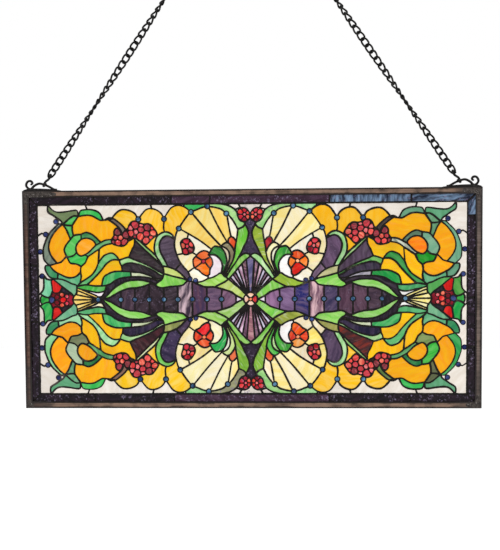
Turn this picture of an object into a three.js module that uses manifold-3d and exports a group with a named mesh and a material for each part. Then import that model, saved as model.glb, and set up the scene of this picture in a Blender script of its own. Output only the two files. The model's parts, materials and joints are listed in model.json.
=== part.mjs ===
// A leaded glass panel hung from a chain: coloured glass in a net of lead, a channel frame,
// two wire hangers soldered on the frame, two open hooks and a two-legged chain.
// Millimetres. X runs to the right, Z up, and the front faces -Y.
// The origin is where a hook would bear on the ring at the top of the chain.
import * as THREE from 'three';
import { mergeVertices } from 'three/addons/utils/BufferGeometryUtils.js';
import Module from 'manifold-3d';

const wasm = await Module();
wasm.setup();

// Fit
const CLEARANCE = 0.3;

// Frame
const FRAME_WIDTH = 813;
const FRAME_HEIGHT = 390;
const RAIL_FACE = 12;
const RAIL_WALL = 1.5;

// Panel
const LEAD_WIDTH = 3;
const LEAD_THICKNESS = 5;
const GLASS_THICKNESS = 3;
const BORDER_WIDTH = 13.5;
const RIM_LAP = 5;

// Hangers
const HANGER_WIRE = 2.8;
const HANGER_INSET = 3.5;
const HANGER_SPAN = 58;
const HANGER_FOOT_HEIGHT = 1.6;
const HANGER_FOOT_DEPTH = 5;

// Hooks
const HOOK_WIRE = 2.4;
const HOOK_RADIUS = 4.3;
const HOOK_SPAN = 15.5;
const HOOK_TURN = Math.PI / 6;

// Chain
const LINK_PITCH = 13.4;
const LINK_WIDTH = 11.5;
const LINK_WIRE = 2.5;
const LINK_THICKNESS = 3;
const LINK_WAIST = 8;
const EYE_NARROWING = 0.75;
const CHAIN_DROP = 559;
const QUARTER_TURNS = 5;

// Ring at the top of the chain
const RING_WIRE = 3.5;
const RING_STRAIGHT = 17;
const RING_RADIUS = 8;
const RING_SEAT_X = 5.2;

// Sizes that follow from the ones above
const frameTop = -CHAIN_DROP;
const panelZ = frameTop - FRAME_HEIGHT / 2;
const hangerX = FRAME_WIDTH / 2 - HANGER_INSET - HANGER_SPAN;
const fieldHalfWidth = FRAME_WIDTH / 2 - RAIL_FACE - BORDER_WIDTH;
const fieldHalfHeight = FRAME_HEIGHT / 2 - RAIL_FACE - BORDER_WIDTH;
const panelHalfWidth = FRAME_WIDTH / 2 - RAIL_WALL - CLEARANCE;
const panelHalfHeight = FRAME_HEIGHT / 2 - RAIL_WALL - CLEARANCE;
const railDepth = LEAD_THICKNESS + 2 * (CLEARANCE + RAIL_WALL);

// One material for each part
function material(color, roughness, metalness = 0) {
  return new THREE.MeshStandardMaterial({ color, roughness, metalness });
}

function namedMesh(name, geometry, finish) {
  const mesh = new THREE.Mesh(geometry, finish);
  mesh.name = name;
  return mesh;
}

// The design is drawn for one quarter of the field, in hundredths of the field's half width and half height
// counted from its centre. The other quarters are its mirror images.
const FULL = 100;

// Points where lead lines meet
const meetings = {
  rayHead: [0, 45.2],
  rayTip: [10, 21.7],
  petalNeck: [2.6, 5.9],
  petalEnd: [3.9, 0],
  fork: [27, 19.4],
  budFoot: [2.4, 78.6],
  leafHead: [5.8, 73.3],
  ribFoot: [18.4, 53.4],
  discEnd: [33.3, 74.5],
  scallopStart: [28.1, 91.5],
  rimBend: [35.2, 62.8],
  berryLeft: [43.6, 69.2],
  berryTop: [58, 73.9],
  berryRight: [65.1, 62.2],
  stalkTop: [41.2, 34.6],
  stalkFoot: [44.1, 17],
  bandEnd: [68.8, 0],
  stemTop: [64.8, 85.6],
  roseHead: [87.9, 79.8],
  roseSide: [90.8, 39.3],
  roseFoot: [80.1, 19.9],
  fanHead: [81.6, 14.1],
  fanTip: [83.7, 3.5],
  budSide: [91.1, 21.1],
  sideEnd: [FULL, 5.3],
  scallopPeak: [34.6, FULL],
};

// The main lead lines: each has a first meeting point, the points between and a last meeting point.
const courses = {
  rayTop: ['rayHead', [[3.7, 38.1]], 'rayTip'],
  rayLow: ['rayTip', [[6.3, 14.1]], 'petalNeck'],
  petalSide: ['petalNeck', [], 'petalEnd'],
  bandStart: ['petalEnd', [[7.3, 5.3], [12.6, 10.6], [20.5, 13.5]], 'fork'],
  upright: ['rayHead', [[3.9, 48.1], [1.6, 61], [1, 71.6]], 'budFoot'],
  leafTop: ['budFoot', [], 'leafHead'],
  discLeft: ['leafHead', [[6.6, 62.2], [7.6, 54.5], [10.5, 59.2], [14.4, 55.7]], 'ribFoot'],
  curl: ['ribFoot', [[18.1, 45.7], [14.2, 41.6], [13.4, 32.8], [19.9, 21.7]], 'fork'],
  rib: ['ribFoot', [], 'discEnd'],
  rimTop: ['leafHead', [[8.1, 83.3], [12.1, 91.5], [17.8, 96], [23.6, 95]], 'scallopStart'],
  rimRight: ['scallopStart', [[31, 83.3]], 'discEnd'],
  rimDown: ['discEnd', [], 'rimBend'],
  rimLow: ['rimBend', [[34.9, 51.6], [32.5, 38.7]], 'fork'],
  leafArch: ['rimBend', [[36.7, 68.6], [39.9, 71]], 'berryLeft'],
  leafSide: ['berryLeft', [[44.9, 57.5], [44.1, 45.7]], 'stalkTop'],
  stalk: ['stalkTop', [[40.4, 27]], 'stalkFoot'],
  bandMiddle: ['fork', [[33.6, 14.7], [40.4, 12.9]], 'stalkFoot'],
  bandTail: ['stalkFoot', [[51.2, 14.1], [58.8, 10.6], [64.6, 4.7]], 'bandEnd'],
  scallopRise: ['scallopStart', [[31, 96.5]], 'scallopPeak'],
  scallops: ['scallopPeak', [[38.1, 93.8], [40.2, 85.6], [43.6, 94.4], [49.3, 93.8], [52.2, 85.6],
    [55.6, 93.8], [61.9, 92.7]], 'stemTop'],
  stem: ['stemTop', [[60.9, 80.4]], 'berryTop'],
  berryCrown: ['berryLeft', [[47.2, 79.2], [55.6, 81.5]], 'berryTop'],
  berryEnd: ['berryTop', [[60.1, 69.2], [63, 73.9]], 'berryRight'],
  berryBase: ['berryLeft', [[48.3, 58.1], [54.1, 64.5], [58.3, 58.1], [62.5, 57.5]], 'berryRight'],
  roseLeft: ['berryRight', [[70.3, 57.5], [72.2, 41.1], [75.1, 27]], 'roseFoot'],
  roseLow: ['roseFoot', [[81.9, 24.6], [89.2, 26.4], [94.5, 35.8]], 'roseSide'],
  roseRight: ['roseSide', [[94, 46.9], [94.8, 58.1], [92.4, 70.4]], 'roseHead'],
  roseTop: ['stemTop', [[70.9, 84.5], [77.7, 89.7], [83.5, 79.2]], 'roseHead'],
  roseTail: ['roseFoot', [], 'fanHead'],
  fanTop: ['bandEnd', [[74.3, 5.9]], 'fanHead'],
  fanSide: ['fanHead', [], 'fanTip'],
  sideLeaf: ['fanTip', [[86.6, 11.1]], 'budSide'],
  sideTop: ['budSide', [[96.1, 26.4], [97.4, 14.1]], 'sideEnd'],
};

// An outline walks along lines: a name alone runs forward and a name after a minus runs back.
function outline(...names) {
  const points = [];
  for (const name of names) {
    const back = name.startsWith('-');
    const [first, between, last] = courses[back ? name.slice(1) : name];
    points.push(meetings[back ? last : first]);
    points.push(...(back ? [...between].reverse() : between));
  }
  return points;
}

function mirrored(points, sideX, sideZ) {
  const copy = points.map(([x, z]) => [x * sideX, z * sideZ]);
  return sideX * sideZ < 0 ? copy.reverse() : copy;
}

// Closes a half outline that starts and ends on an axis with its own mirror image.
function acrossUpright(half) {
  return [...half, ...half.map(([x, z]) => [-x, z]).reverse()];
}

function acrossLevel(half) {
  return [...half, ...half.map(([x, z]) => [x, -z]).reverse()];
}

function toField(points) {
  const real = points.map(([x, z]) => new THREE.Vector2(x * fieldHalfWidth / FULL, z * fieldHalfHeight / FULL));
  const same = (a, b) => a.distanceTo(b) < LEAD_WIDTH / 10;
  const kept = real.filter((p, i) => !same(p, real[(i + 1) % real.length]));
  return THREE.ShapeUtils.isClockWise(kept) ? kept.reverse() : kept;
}

// Moves every edge of an anticlockwise outline inward by the same distance.
// A sharp corner is cut off at so many times that distance.
const LONGEST_POINT = 5;
const LONGEST_NOTCH = 2;
function inset(points, distance) {
  return points.map((p, i) => {
    const before = points[(i + points.length - 1) % points.length];
    const after = points[(i + 1) % points.length];
    const edgeIn = p.clone().sub(before).normalize();
    const edgeOut = after.clone().sub(p).normalize();
    const sum = new THREE.Vector2(-edgeIn.y - edgeOut.y, edgeIn.x + edgeOut.x);
    const turn = edgeIn.x * edgeOut.y - edgeIn.y * edgeOut.x;
    const limit = turn > 0 ? LONGEST_POINT : LONGEST_NOTCH;
    const reach = Math.min(2 / sum.lengthSq(), limit / sum.length());
    return p.clone().add(sum.multiplyScalar(distance * reach));
  });
}

// A flat plate whose middle plane is y = 0
function plate(outer, thickness) {
  const geometry = new THREE.ExtrudeGeometry(new THREE.Shape(outer), { depth: thickness, bevelEnabled: false });
  geometry.translate(0, 0, -thickness / 2);
  geometry.rotateX(Math.PI / 2);
  return geometry;
}

function rectangle(halfWidth, halfHeight) {
  return [[-1, -1], [1, -1], [1, 1], [-1, 1]].map(([x, z]) => new THREE.Vector2(x * halfWidth, z * halfHeight));
}

// Joining and cutting of closed meshes
const WELD_GAP = 1e-4;
function toSolid(geometry) {
  const bare = geometry.clone();
  bare.deleteAttribute('normal');
  bare.deleteAttribute('uv');
  const merged = mergeVertices(bare, WELD_GAP);
  return new wasm.Manifold(new wasm.Mesh({
    numProp: 3,
    vertProperties: new Float32Array(merged.attributes.position.array),
    triVerts: new Uint32Array(merged.index.array),
  }));
}

function toGeometry(solid) {
  const mesh = solid.getMesh();
  const geometry = new THREE.BufferGeometry();
  geometry.setAttribute('position', new THREE.BufferAttribute(mesh.vertProperties, 3));
  geometry.setIndex(new THREE.BufferAttribute(mesh.triVerts, 1));
  geometry.computeVertexNormals();
  return geometry;
}

// The glass zones: several neighbouring pieces of glass each
const cream = material(0xe8e0d6, 0.25);
const amber = material(0xffb82a, 0.2);
const rose = material(0xff9c1e, 0.2);
const paleYellow = material(0xfcecb0, 0.25);
const blossomRed = material(0xd9502e, 0.2);
const berryRed = material(0xa81e30, 0.2);
const leafGreen = material(0x5fae46, 0.25);
const darkPetal = material(0x3f5a3a, 0.25);
const violet = material(0x6e4678, 0.25);
const plum = material(0x3a2430, 0.3);
const budPink = material(0xc86a78, 0.2);
const lead = material(0x1c1815, 0.5, 0.6);
const brownPatina = material(0x6e5c50, 0.45, 0.6);
const darkWire = material(0x2a2522, 0.4, 0.7);
const blackChain = material(0x17130f, 0.4, 0.7);

const quarterZones = {
  fan: { finish: paleYellow, points: outline('rimTop', 'rimRight', '-rib', '-discLeft') },
  blossom: { finish: blossomRed, points: outline('rib', 'rimDown', 'rimLow', '-curl') },
  leaves: {
    finish: leafGreen,
    points: outline('upright', 'leafTop', 'discLeft', 'curl', '-bandStart', '-petalSide', '-rayLow', '-rayTop'),
  },
  club: { finish: violet, points: outline('-rimLow', 'leafArch', 'leafSide', 'stalk', '-bandMiddle') },
  scallops: {
    finish: amber,
    points: outline('-rimRight', 'scallopRise', 'scallops', 'stem', '-berryCrown', '-leafArch', '-rimDown'),
  },
  berries: { finish: berryRed, points: outline('berryCrown', 'berryEnd', '-berryBase') },
  petals: {
    finish: darkPetal,
    points: outline('-leafSide', 'berryBase', 'roseLeft', 'roseTail', '-fanTop', '-bandTail', '-stalk'),
  },
  rose: { finish: rose, points: outline('-stem', 'roseTop', '-roseRight', '-roseLow', '-roseLeft', '-berryEnd') },
  ground: {
    finish: cream,
    points: [meetings.scallopPeak, [FULL, FULL], ...outline('-sideTop', '-sideLeaf', '-fanSide', '-roseTail',
      'roseLow', 'roseRight', '-roseTop', '-scallops')],
  },
};

const quarters = [
  { place: 'upper_left', sideX: -1, sideZ: 1 },
  { place: 'upper_right', sideX: 1, sideZ: 1 },
  { place: 'lower_left', sideX: -1, sideZ: -1 },
  { place: 'lower_right', sideX: 1, sideZ: -1 },
];

const zones = [];
for (const { place, sideX, sideZ } of quarters) {
  for (const [kind, { finish, points }] of Object.entries(quarterZones)) {
    zones.push({ name: `glass_${kind}_${place}`, finish, points: mirrored(points, sideX, sideZ) });
  }
}

// The centre flower with the rays above and below it
const flowerQuarter = [...outline('rayTop', 'rayLow'), meetings.petalNeck];
const flowerRight = [...flowerQuarter, meetings.petalEnd, ...flowerQuarter.map(([x, z]) => [x, -z]).reverse()];
zones.push({
  name: 'glass_centre_flower',
  finish: budPink,
  points: [...flowerRight, ...flowerRight.map(([x, z]) => [-x, z]).reverse()],
});

const uprightHalf = [...outline('upright', 'leafTop', 'rimTop', 'scallopRise'), meetings.scallopPeak];
const bandHalf = [...outline('bandStart', 'bandMiddle', 'bandTail'), meetings.bandEnd];
const endHalf = [...outline('fanTop', 'fanSide', 'sideLeaf', 'sideTop'), meetings.sideEnd];
for (const [place, side] of [['upper', 1], ['lower', -1]]) {
  zones.push({
    name: `glass_upright_${place}`,
    finish: plum,
    points: acrossUpright(uprightHalf.map(([x, z]) => [x, z * side])),
  });
}
for (const [place, side] of [['left', -1], ['right', 1]]) {
  zones.push({
    name: `glass_band_${place}`,
    finish: violet,
    points: acrossLevel(bandHalf.map(([x, z]) => [x * side, z])),
  });
  zones.push({
    name: `glass_end_fan_${place}`,
    finish: paleYellow,
    points: acrossLevel(endHalf.map(([x, z]) => [x * side, z])),
  });
}
for (const zone of zones) {
  zone.outline = toField(zone.points);
}

// The border glass: a strip along each side, mitred at the corners
const borderOuterX = FRAME_WIDTH / 2 - RAIL_FACE + RIM_LAP;
const borderOuterZ = FRAME_HEIGHT / 2 - RAIL_FACE + RIM_LAP;
const outerCorners = rectangle(borderOuterX, borderOuterZ);
const innerCorners = rectangle(fieldHalfWidth, fieldHalfHeight);
['bottom', 'right', 'top', 'left'].forEach((place, i) => {
  const next = (i + 1) % 4;
  zones.push({
    name: `glass_border_${place}`,
    finish: plum,
    outline: [outerCorners[i], outerCorners[next], innerCorners[next], innerCorners[i]],
  });
});

const hangingPanel = new THREE.Group();
const panel = new THREE.Group();
panel.position.z = panelZ;
hangingPanel.add(panel);

for (const { name, finish, outline: edge } of zones) {
  const glass = plate(inset(edge, LEAD_WIDTH / 2 + CLEARANCE), GLASS_THICKNESS);
  panel.add(namedMesh(name, glass, finish));
}
let leadNet = toSolid(plate(rectangle(panelHalfWidth, panelHalfHeight), LEAD_THICKNESS));
for (const { outline: edge } of zones) {
  const opening = plate(inset(edge, LEAD_WIDTH / 2), LEAD_THICKNESS + 2 * CLEARANCE);
  leadNet = leadNet.subtract(toSolid(opening));
}
panel.add(namedMesh('lead_net', toGeometry(leadNet), lead));

// A rail is a U channel, open toward the panel, mitred at both ends.
// It is drawn for the top of the frame and turned for the other sides.
function rail(length, halfSpan) {
  const face = RAIL_FACE;
  const halfDepth = railDepth / 2;
  const slot = halfDepth - RAIL_WALL;
  const section = new THREE.Shape([
    [0, -halfDepth], [0, halfDepth], [face, halfDepth], [face, slot],
    [RAIL_WALL, slot], [RAIL_WALL, -slot], [face, -slot], [face, -halfDepth],
  ].map(([inward, y]) => new THREE.Vector2(inward, y)));
  const geometry = new THREE.ExtrudeGeometry(section, { depth: length, bevelEnabled: false });
  const position = geometry.attributes.position;
  for (let i = 0; i < position.count; i += 1) {
    const inward = position.getX(i);
    const side = position.getZ(i) > length / 2 ? 1 : -1;
    const x = side * (length / 2 - inward - CLEARANCE / 2);
    position.setXYZ(i, x, position.getY(i), halfSpan - inward);
  }
  return geometry;
}

const rails = [
  ['rail_top', FRAME_WIDTH, FRAME_HEIGHT / 2, 0],
  ['rail_right', FRAME_HEIGHT, FRAME_WIDTH / 2, Math.PI / 2],
  ['rail_bottom', FRAME_WIDTH, FRAME_HEIGHT / 2, Math.PI],
  ['rail_left', FRAME_HEIGHT, FRAME_WIDTH / 2, -Math.PI / 2],
];
for (const [name, length, halfSpan, turn] of rails) {
  const mesh = namedMesh(name, rail(length, halfSpan), brownPatina);
  mesh.rotation.y = turn;
  panel.add(mesh);
}

// A wire of round section along a curve with two free ends
const WIRE_SIDES = 6;
function wire(points, diameter, steps) {
  const section = new THREE.Shape(Array.from({ length: WIRE_SIDES }, (_, i) => {
    const angle = (2 * Math.PI * i) / WIRE_SIDES;
    return new THREE.Vector2(Math.cos(angle), Math.sin(angle)).multiplyScalar(diameter / 2);
  }));
  const path = new THREE.CatmullRomCurve3(points, false, 'centripetal');
  return new THREE.ExtrudeGeometry(section, { steps, bevelEnabled: false, extrudePath: path });
}

// A hanger: a foot on the frame, an arch for the hook and a scroll at the outer end.
// Its points are counted from the inner end of the foot and from the top of the foot.
const HANGER_STEPS = 26;
const hangerPoint = ([x, z]) => (
  new THREE.Vector3(hangerX + x, 0, frameTop + CLEARANCE + HANGER_FOOT_HEIGHT + z)
);
const hookPlace = [22, 9.7];
const hangerRoute = [
  [0, 0], [5, 0.4], [13, 6], hookPlace, [31, 10.8], [39, 6.6], [45.5, 1],
  [52, 3.4], [54.5, 9], [51, 15], [44.5, 16], [40.8, 11.6], [44.6, 8.6],
].map(hangerPoint);
const archCrown = hangerPoint(hookPlace);

function hanger() {
  const bent = toSolid(wire(hangerRoute, HANGER_WIRE, HANGER_STEPS));
  const foot = new THREE.BoxGeometry(HANGER_SPAN, HANGER_FOOT_DEPTH, HANGER_FOOT_HEIGHT);
  foot.translate(hangerX + HANGER_SPAN / 2, 0, frameTop + CLEARANCE + HANGER_FOOT_HEIGHT / 2);
  return toGeometry(bent.add(toSolid(foot)));
}

function mirrorX(geometry) {
  const flipped = geometry.clone();
  flipped.scale(-1, 1, 1);
  const faces = flipped.index ? flipped : mergeVertices(flipped.deleteAttribute('uv').deleteAttribute('normal'));
  const index = faces.index;
  for (let i = 0; i < index.count; i += 3) {
    const second = index.getX(i + 1);
    index.setX(i + 1, index.getX(i + 2));
    index.setX(i + 2, second);
  }
  faces.computeVertexNormals();
  return faces;
}

// The ring stands in the picture's plane. Both legs of the chain hang on its lower bar.
const ringBarZ = RING_WIRE / 2 - 2 * RING_RADIUS;
const legSeat = new THREE.Vector3(RING_SEAT_X, 0, ringBarZ);

// The pull of the chain runs straight from the hanger's arch to the ring.
const pull = legSeat.clone().sub(archCrown).normalize();
const across = new THREE.Vector3(-pull.z, 0, pull.x).negate();
const obliqueBar = (RING_WIRE / Math.abs(across.x) + LINK_THICKNESS * Math.abs(pull.x / across.x)) / 2;
const topRung = legSeat.clone().addScaledVector(pull, LINK_WIRE / 2 + CLEARANCE + obliqueBar);
const lowLoop = archCrown.clone().addScaledVector(pull, (HOOK_RADIUS - HOOK_WIRE / 2 - HANGER_WIRE / 2) / 2);
const bottomRung = lowLoop.clone().addScaledVector(pull, HOOK_SPAN);
const legLength = topRung.distanceTo(bottomRung);
const linkCount = Math.round(legLength / LINK_PITCH);
const pitch = legLength / linkCount;

// An open hook bent like an S in a plane that holds the line of the pull
const HOOK_STEPS = 20;
const HOOK_LIP = 0.7;
function hook() {
  const tilt = new THREE.Vector3(0, -1, 0).multiplyScalar(Math.cos(HOOK_TURN));
  tilt.addScaledVector(across, -Math.sin(HOOK_TURN));
  const r = HOOK_RADIUS;
  const diagonal = r * Math.SQRT1_2;
  const half = [[r * HOOK_LIP, r], [0, r], [-diagonal, diagonal], [-r, 0], [-diagonal, -diagonal], [0, -r], [r, -r]];
  const upper = half.map(([u, v]) => [HOOK_SPAN - u, -v]).reverse();
  const points = [...half, ...upper].map(([u, v]) => (
    lowLoop.clone().addScaledVector(pull, u).addScaledVector(tilt, v)
  ));
  return wire(points, HOOK_WIRE, HOOK_STEPS);
}

// A leg of the chain: curb links that lie close, fused where they bear on each other.
// It is a strip with one eye for each link, and it turns slowly about the line of the pull.
// Each row across the strip has a place along it, a half width and the half width of its eye, if any.
function chainRows() {
  const rows = [{ along: -LINK_WIRE / 2, half: LINK_WAIST / 2, eye: 0 }];
  for (let i = 0; i < linkCount; i += 1) {
    const first = i === 0;
    const last = i === linkCount - 1;
    const eye = (LINK_WIDTH / 2 - LINK_WIRE) * (first || last ? 1 : EYE_NARROWING);
    const low = i * pitch + (first ? LINK_WIRE / 2 : LINK_WIRE);
    const high = (i + 1) * pitch - (last ? LINK_WIRE / 2 : LINK_WIRE);
    rows.push({ along: low, half: LINK_WIDTH / 2, eye }, { along: high, half: LINK_WIDTH / 2, eye });
    rows.push({ along: (i + 1) * pitch + (last ? LINK_WIRE / 2 : 0), half: LINK_WAIST / 2, eye: 0 });
  }
  return rows;
}

function chainLeg() {
  const vertices = [];
  const faces = [];
  // A row has corners at its outer edges, and at the edges of its eye if it has one, in front and behind.
  const corner = (v, y, along) => {
    const turn = (QUARTER_TURNS * Math.PI / 2) * (along / legLength);
    const point = bottomRung.clone().addScaledVector(pull, along);
    point.addScaledVector(across, v * Math.cos(turn) - y * Math.sin(turn));
    point.y += v * Math.sin(turn) + y * Math.cos(turn);
    vertices.push(point.x, point.y, point.z);
    return vertices.length / 3 - 1;
  };
  const quad = (a, b, c, d) => faces.push(a, c, b, a, d, c);
  const built = chainRows().map(({ along, half, eye }) => {
    const places = eye > 0 ? [-half, -eye, eye, half] : [-half, half];
    return {
      front: places.map((v) => corner(v, -LINK_THICKNESS / 2, along)),
      back: places.map((v) => corner(v, LINK_THICKNESS / 2, along)),
    };
  });
  built.slice(1).forEach((high, i) => {
    const low = built[i];
    const lowEnd = low.front.length - 1;
    const highEnd = high.front.length - 1;
    quad(low.front[0], low.back[0], high.back[0], high.front[0]);
    quad(low.back[lowEnd], low.front[lowEnd], high.front[highEnd], high.back[highEnd]);
    for (const [side, flip] of [['front', false], ['back', true]]) {
      const face = (...corners) => {
        const order = flip ? corners.reverse() : corners;
        for (let k = 2; k < order.length; k += 1) {
          faces.push(order[0], order[k - 1], order[k]);
        }
      };
      const a = low[side];
      const b = high[side];
      if (a.length === b.length) {
        face(a[0], a[1], b[1], b[0]);
        face(a[2], a[3], b[3], b[2]);
      } else if (a.length < b.length) {
        face(a[0], b[1], b[0]);
        face(a[0], a[1], b[2], b[1]);
        face(a[1], b[3], b[2]);
      } else {
        face(a[0], a[1], b[0]);
        face(a[1], a[2], b[1], b[0]);
        face(a[2], a[3], b[1]);
      }
    }
    if (low.front.length === high.front.length) {
      quad(low.back[1], low.front[1], high.front[1], high.back[1]);
      quad(low.front[2], low.back[2], high.back[2], high.front[2]);
    } else {
      const eyed = low.front.length > high.front.length ? low : high;
      const ends = [eyed.front[1], eyed.front[2], eyed.back[2], eyed.back[1]];
      quad(...(eyed === high ? ends.reverse() : ends));
    }
  });
  const start = built[0];
  const end = built[built.length - 1];
  quad(start.front[0], start.front[1], start.back[1], start.back[0]);
  quad(end.front[1], end.front[0], end.back[0], end.back[1]);
  const geometry = new THREE.BufferGeometry();
  geometry.setAttribute('position', new THREE.Float32BufferAttribute(vertices, 3));
  geometry.setIndex(faces);
  geometry.computeVertexNormals();
  return geometry;
}

const RING_BENDS = 4;
function ring() {
  const middle = RING_WIRE / 2 - RING_RADIUS;
  const points = [];
  for (const side of [1, -1]) {
    for (let i = 0; i <= RING_BENDS; i += 1) {
      const angle = (side * Math.PI) / 2 - (Math.PI * i) / RING_BENDS;
      const x = (side * RING_STRAIGHT) / 2 + RING_RADIUS * Math.cos(angle);
      points.push(new THREE.Vector3(x, 0, middle + RING_RADIUS * Math.sin(angle)));
    }
  }
  return closedWire(points, RING_WIRE);
}

// A wire of round section round a flat loop of points in the plane of the panel
function closedWire(points, diameter) {
  const sides = WIRE_SIDES;
  const count = points.length;
  const vertices = [];
  const faces = [];
  points.forEach((p, i) => {
    const before = points[(i + count - 1) % count];
    const after = points[(i + 1) % count];
    const along = after.clone().sub(before).normalize();
    const outward = new THREE.Vector3(-along.z, 0, along.x);
    for (let k = 0; k < sides; k += 1) {
      const angle = (2 * Math.PI * k) / sides;
      const at = p.clone().addScaledVector(outward, Math.cos(angle) * diameter / 2);
      vertices.push(at.x, at.y + Math.sin(angle) * diameter / 2, at.z);
      const a = i * sides + k;
      const b = i * sides + ((k + 1) % sides);
      const c = ((i + 1) % count) * sides + k;
      const d = ((i + 1) % count) * sides + ((k + 1) % sides);
      faces.push(a, c, b, b, c, d);
    }
  });
  const geometry = new THREE.BufferGeometry();
  geometry.setAttribute('position', new THREE.Float32BufferAttribute(vertices, 3));
  geometry.setIndex(faces);
  geometry.computeVertexNormals();
  return geometry;
}

hangingPanel.add(namedMesh('chain_ring', ring(), blackChain));
for (const [place, side] of [['left', -1], ['right', 1]]) {
  const turned = (geometry) => (side > 0 ? geometry : mirrorX(geometry));
  hangingPanel.add(namedMesh(`hanger_${place}`, turned(hanger()), darkWire));
  hangingPanel.add(namedMesh(`hook_${place}`, turned(hook()), blackChain));
  hangingPanel.add(namedMesh(`chain_leg_${place}`, turned(chainLeg()), blackChain));
}

export default hangingPanel;
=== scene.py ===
"""A hanging leaded glass panel: glass, jewels, solder lines, channel frame, hangers, hooks and chain.

Metres. X runs right, Z up, and the front faces -Y. The drawing below is in millimetres for one quarter.
"""
import json
import math
import random

import bpy
from bpy.props import FloatProperty, FloatVectorProperty, IntProperty, PointerProperty
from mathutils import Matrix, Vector
from mathutils.geometry import delaunay_2d_cdt


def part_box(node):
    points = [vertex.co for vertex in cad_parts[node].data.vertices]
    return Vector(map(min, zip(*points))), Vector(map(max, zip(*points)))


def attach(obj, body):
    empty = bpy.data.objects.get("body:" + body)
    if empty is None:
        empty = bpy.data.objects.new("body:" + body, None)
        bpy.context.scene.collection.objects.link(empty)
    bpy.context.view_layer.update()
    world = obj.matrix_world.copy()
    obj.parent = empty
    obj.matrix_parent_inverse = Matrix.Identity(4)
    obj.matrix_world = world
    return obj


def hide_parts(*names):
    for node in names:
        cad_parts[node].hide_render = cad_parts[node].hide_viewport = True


bl_info = {
    "name": "Leaded glass panel",
    "version": (1, 0, 0),
    "blender": (4, 5, 0),
    "location": "View3D > Sidebar > Panel",
    "description": "Builds a hanging leaded glass panel piece by piece",
    "category": "Object",
}

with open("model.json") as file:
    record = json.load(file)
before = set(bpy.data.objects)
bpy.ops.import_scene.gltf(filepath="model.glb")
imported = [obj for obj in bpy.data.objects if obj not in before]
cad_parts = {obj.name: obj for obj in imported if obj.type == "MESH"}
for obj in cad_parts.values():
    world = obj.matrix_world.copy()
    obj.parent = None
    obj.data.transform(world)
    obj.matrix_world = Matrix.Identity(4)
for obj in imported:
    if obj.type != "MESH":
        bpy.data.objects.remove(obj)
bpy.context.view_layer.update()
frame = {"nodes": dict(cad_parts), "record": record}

# Places that the solids give
NET_LOW, NET_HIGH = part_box("lead_net")
RAIL_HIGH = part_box("rail_top")[1]
FRAME_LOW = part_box("rail_bottom")[0]
FRAME_TOP = RAIL_HIGH[2]
HALF_WIDTH = RAIL_HIGH[0]
HALF_HEIGHT = (FRAME_TOP - FRAME_LOW[2]) / 2
PANEL_Z = (FRAME_TOP + FRAME_LOW[2]) / 2
RAIL_DEPTH = RAIL_HIGH[1]
MM = 0.001

# The drawing of one quarter: x from the centre, z up from the centre, millimetres
FIELD = (381.0, 170.5)
BORDER_OUT = (399.5, 188.0)
FIELD_SCALE_Z = 169.5 / FIELD[1]

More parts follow.
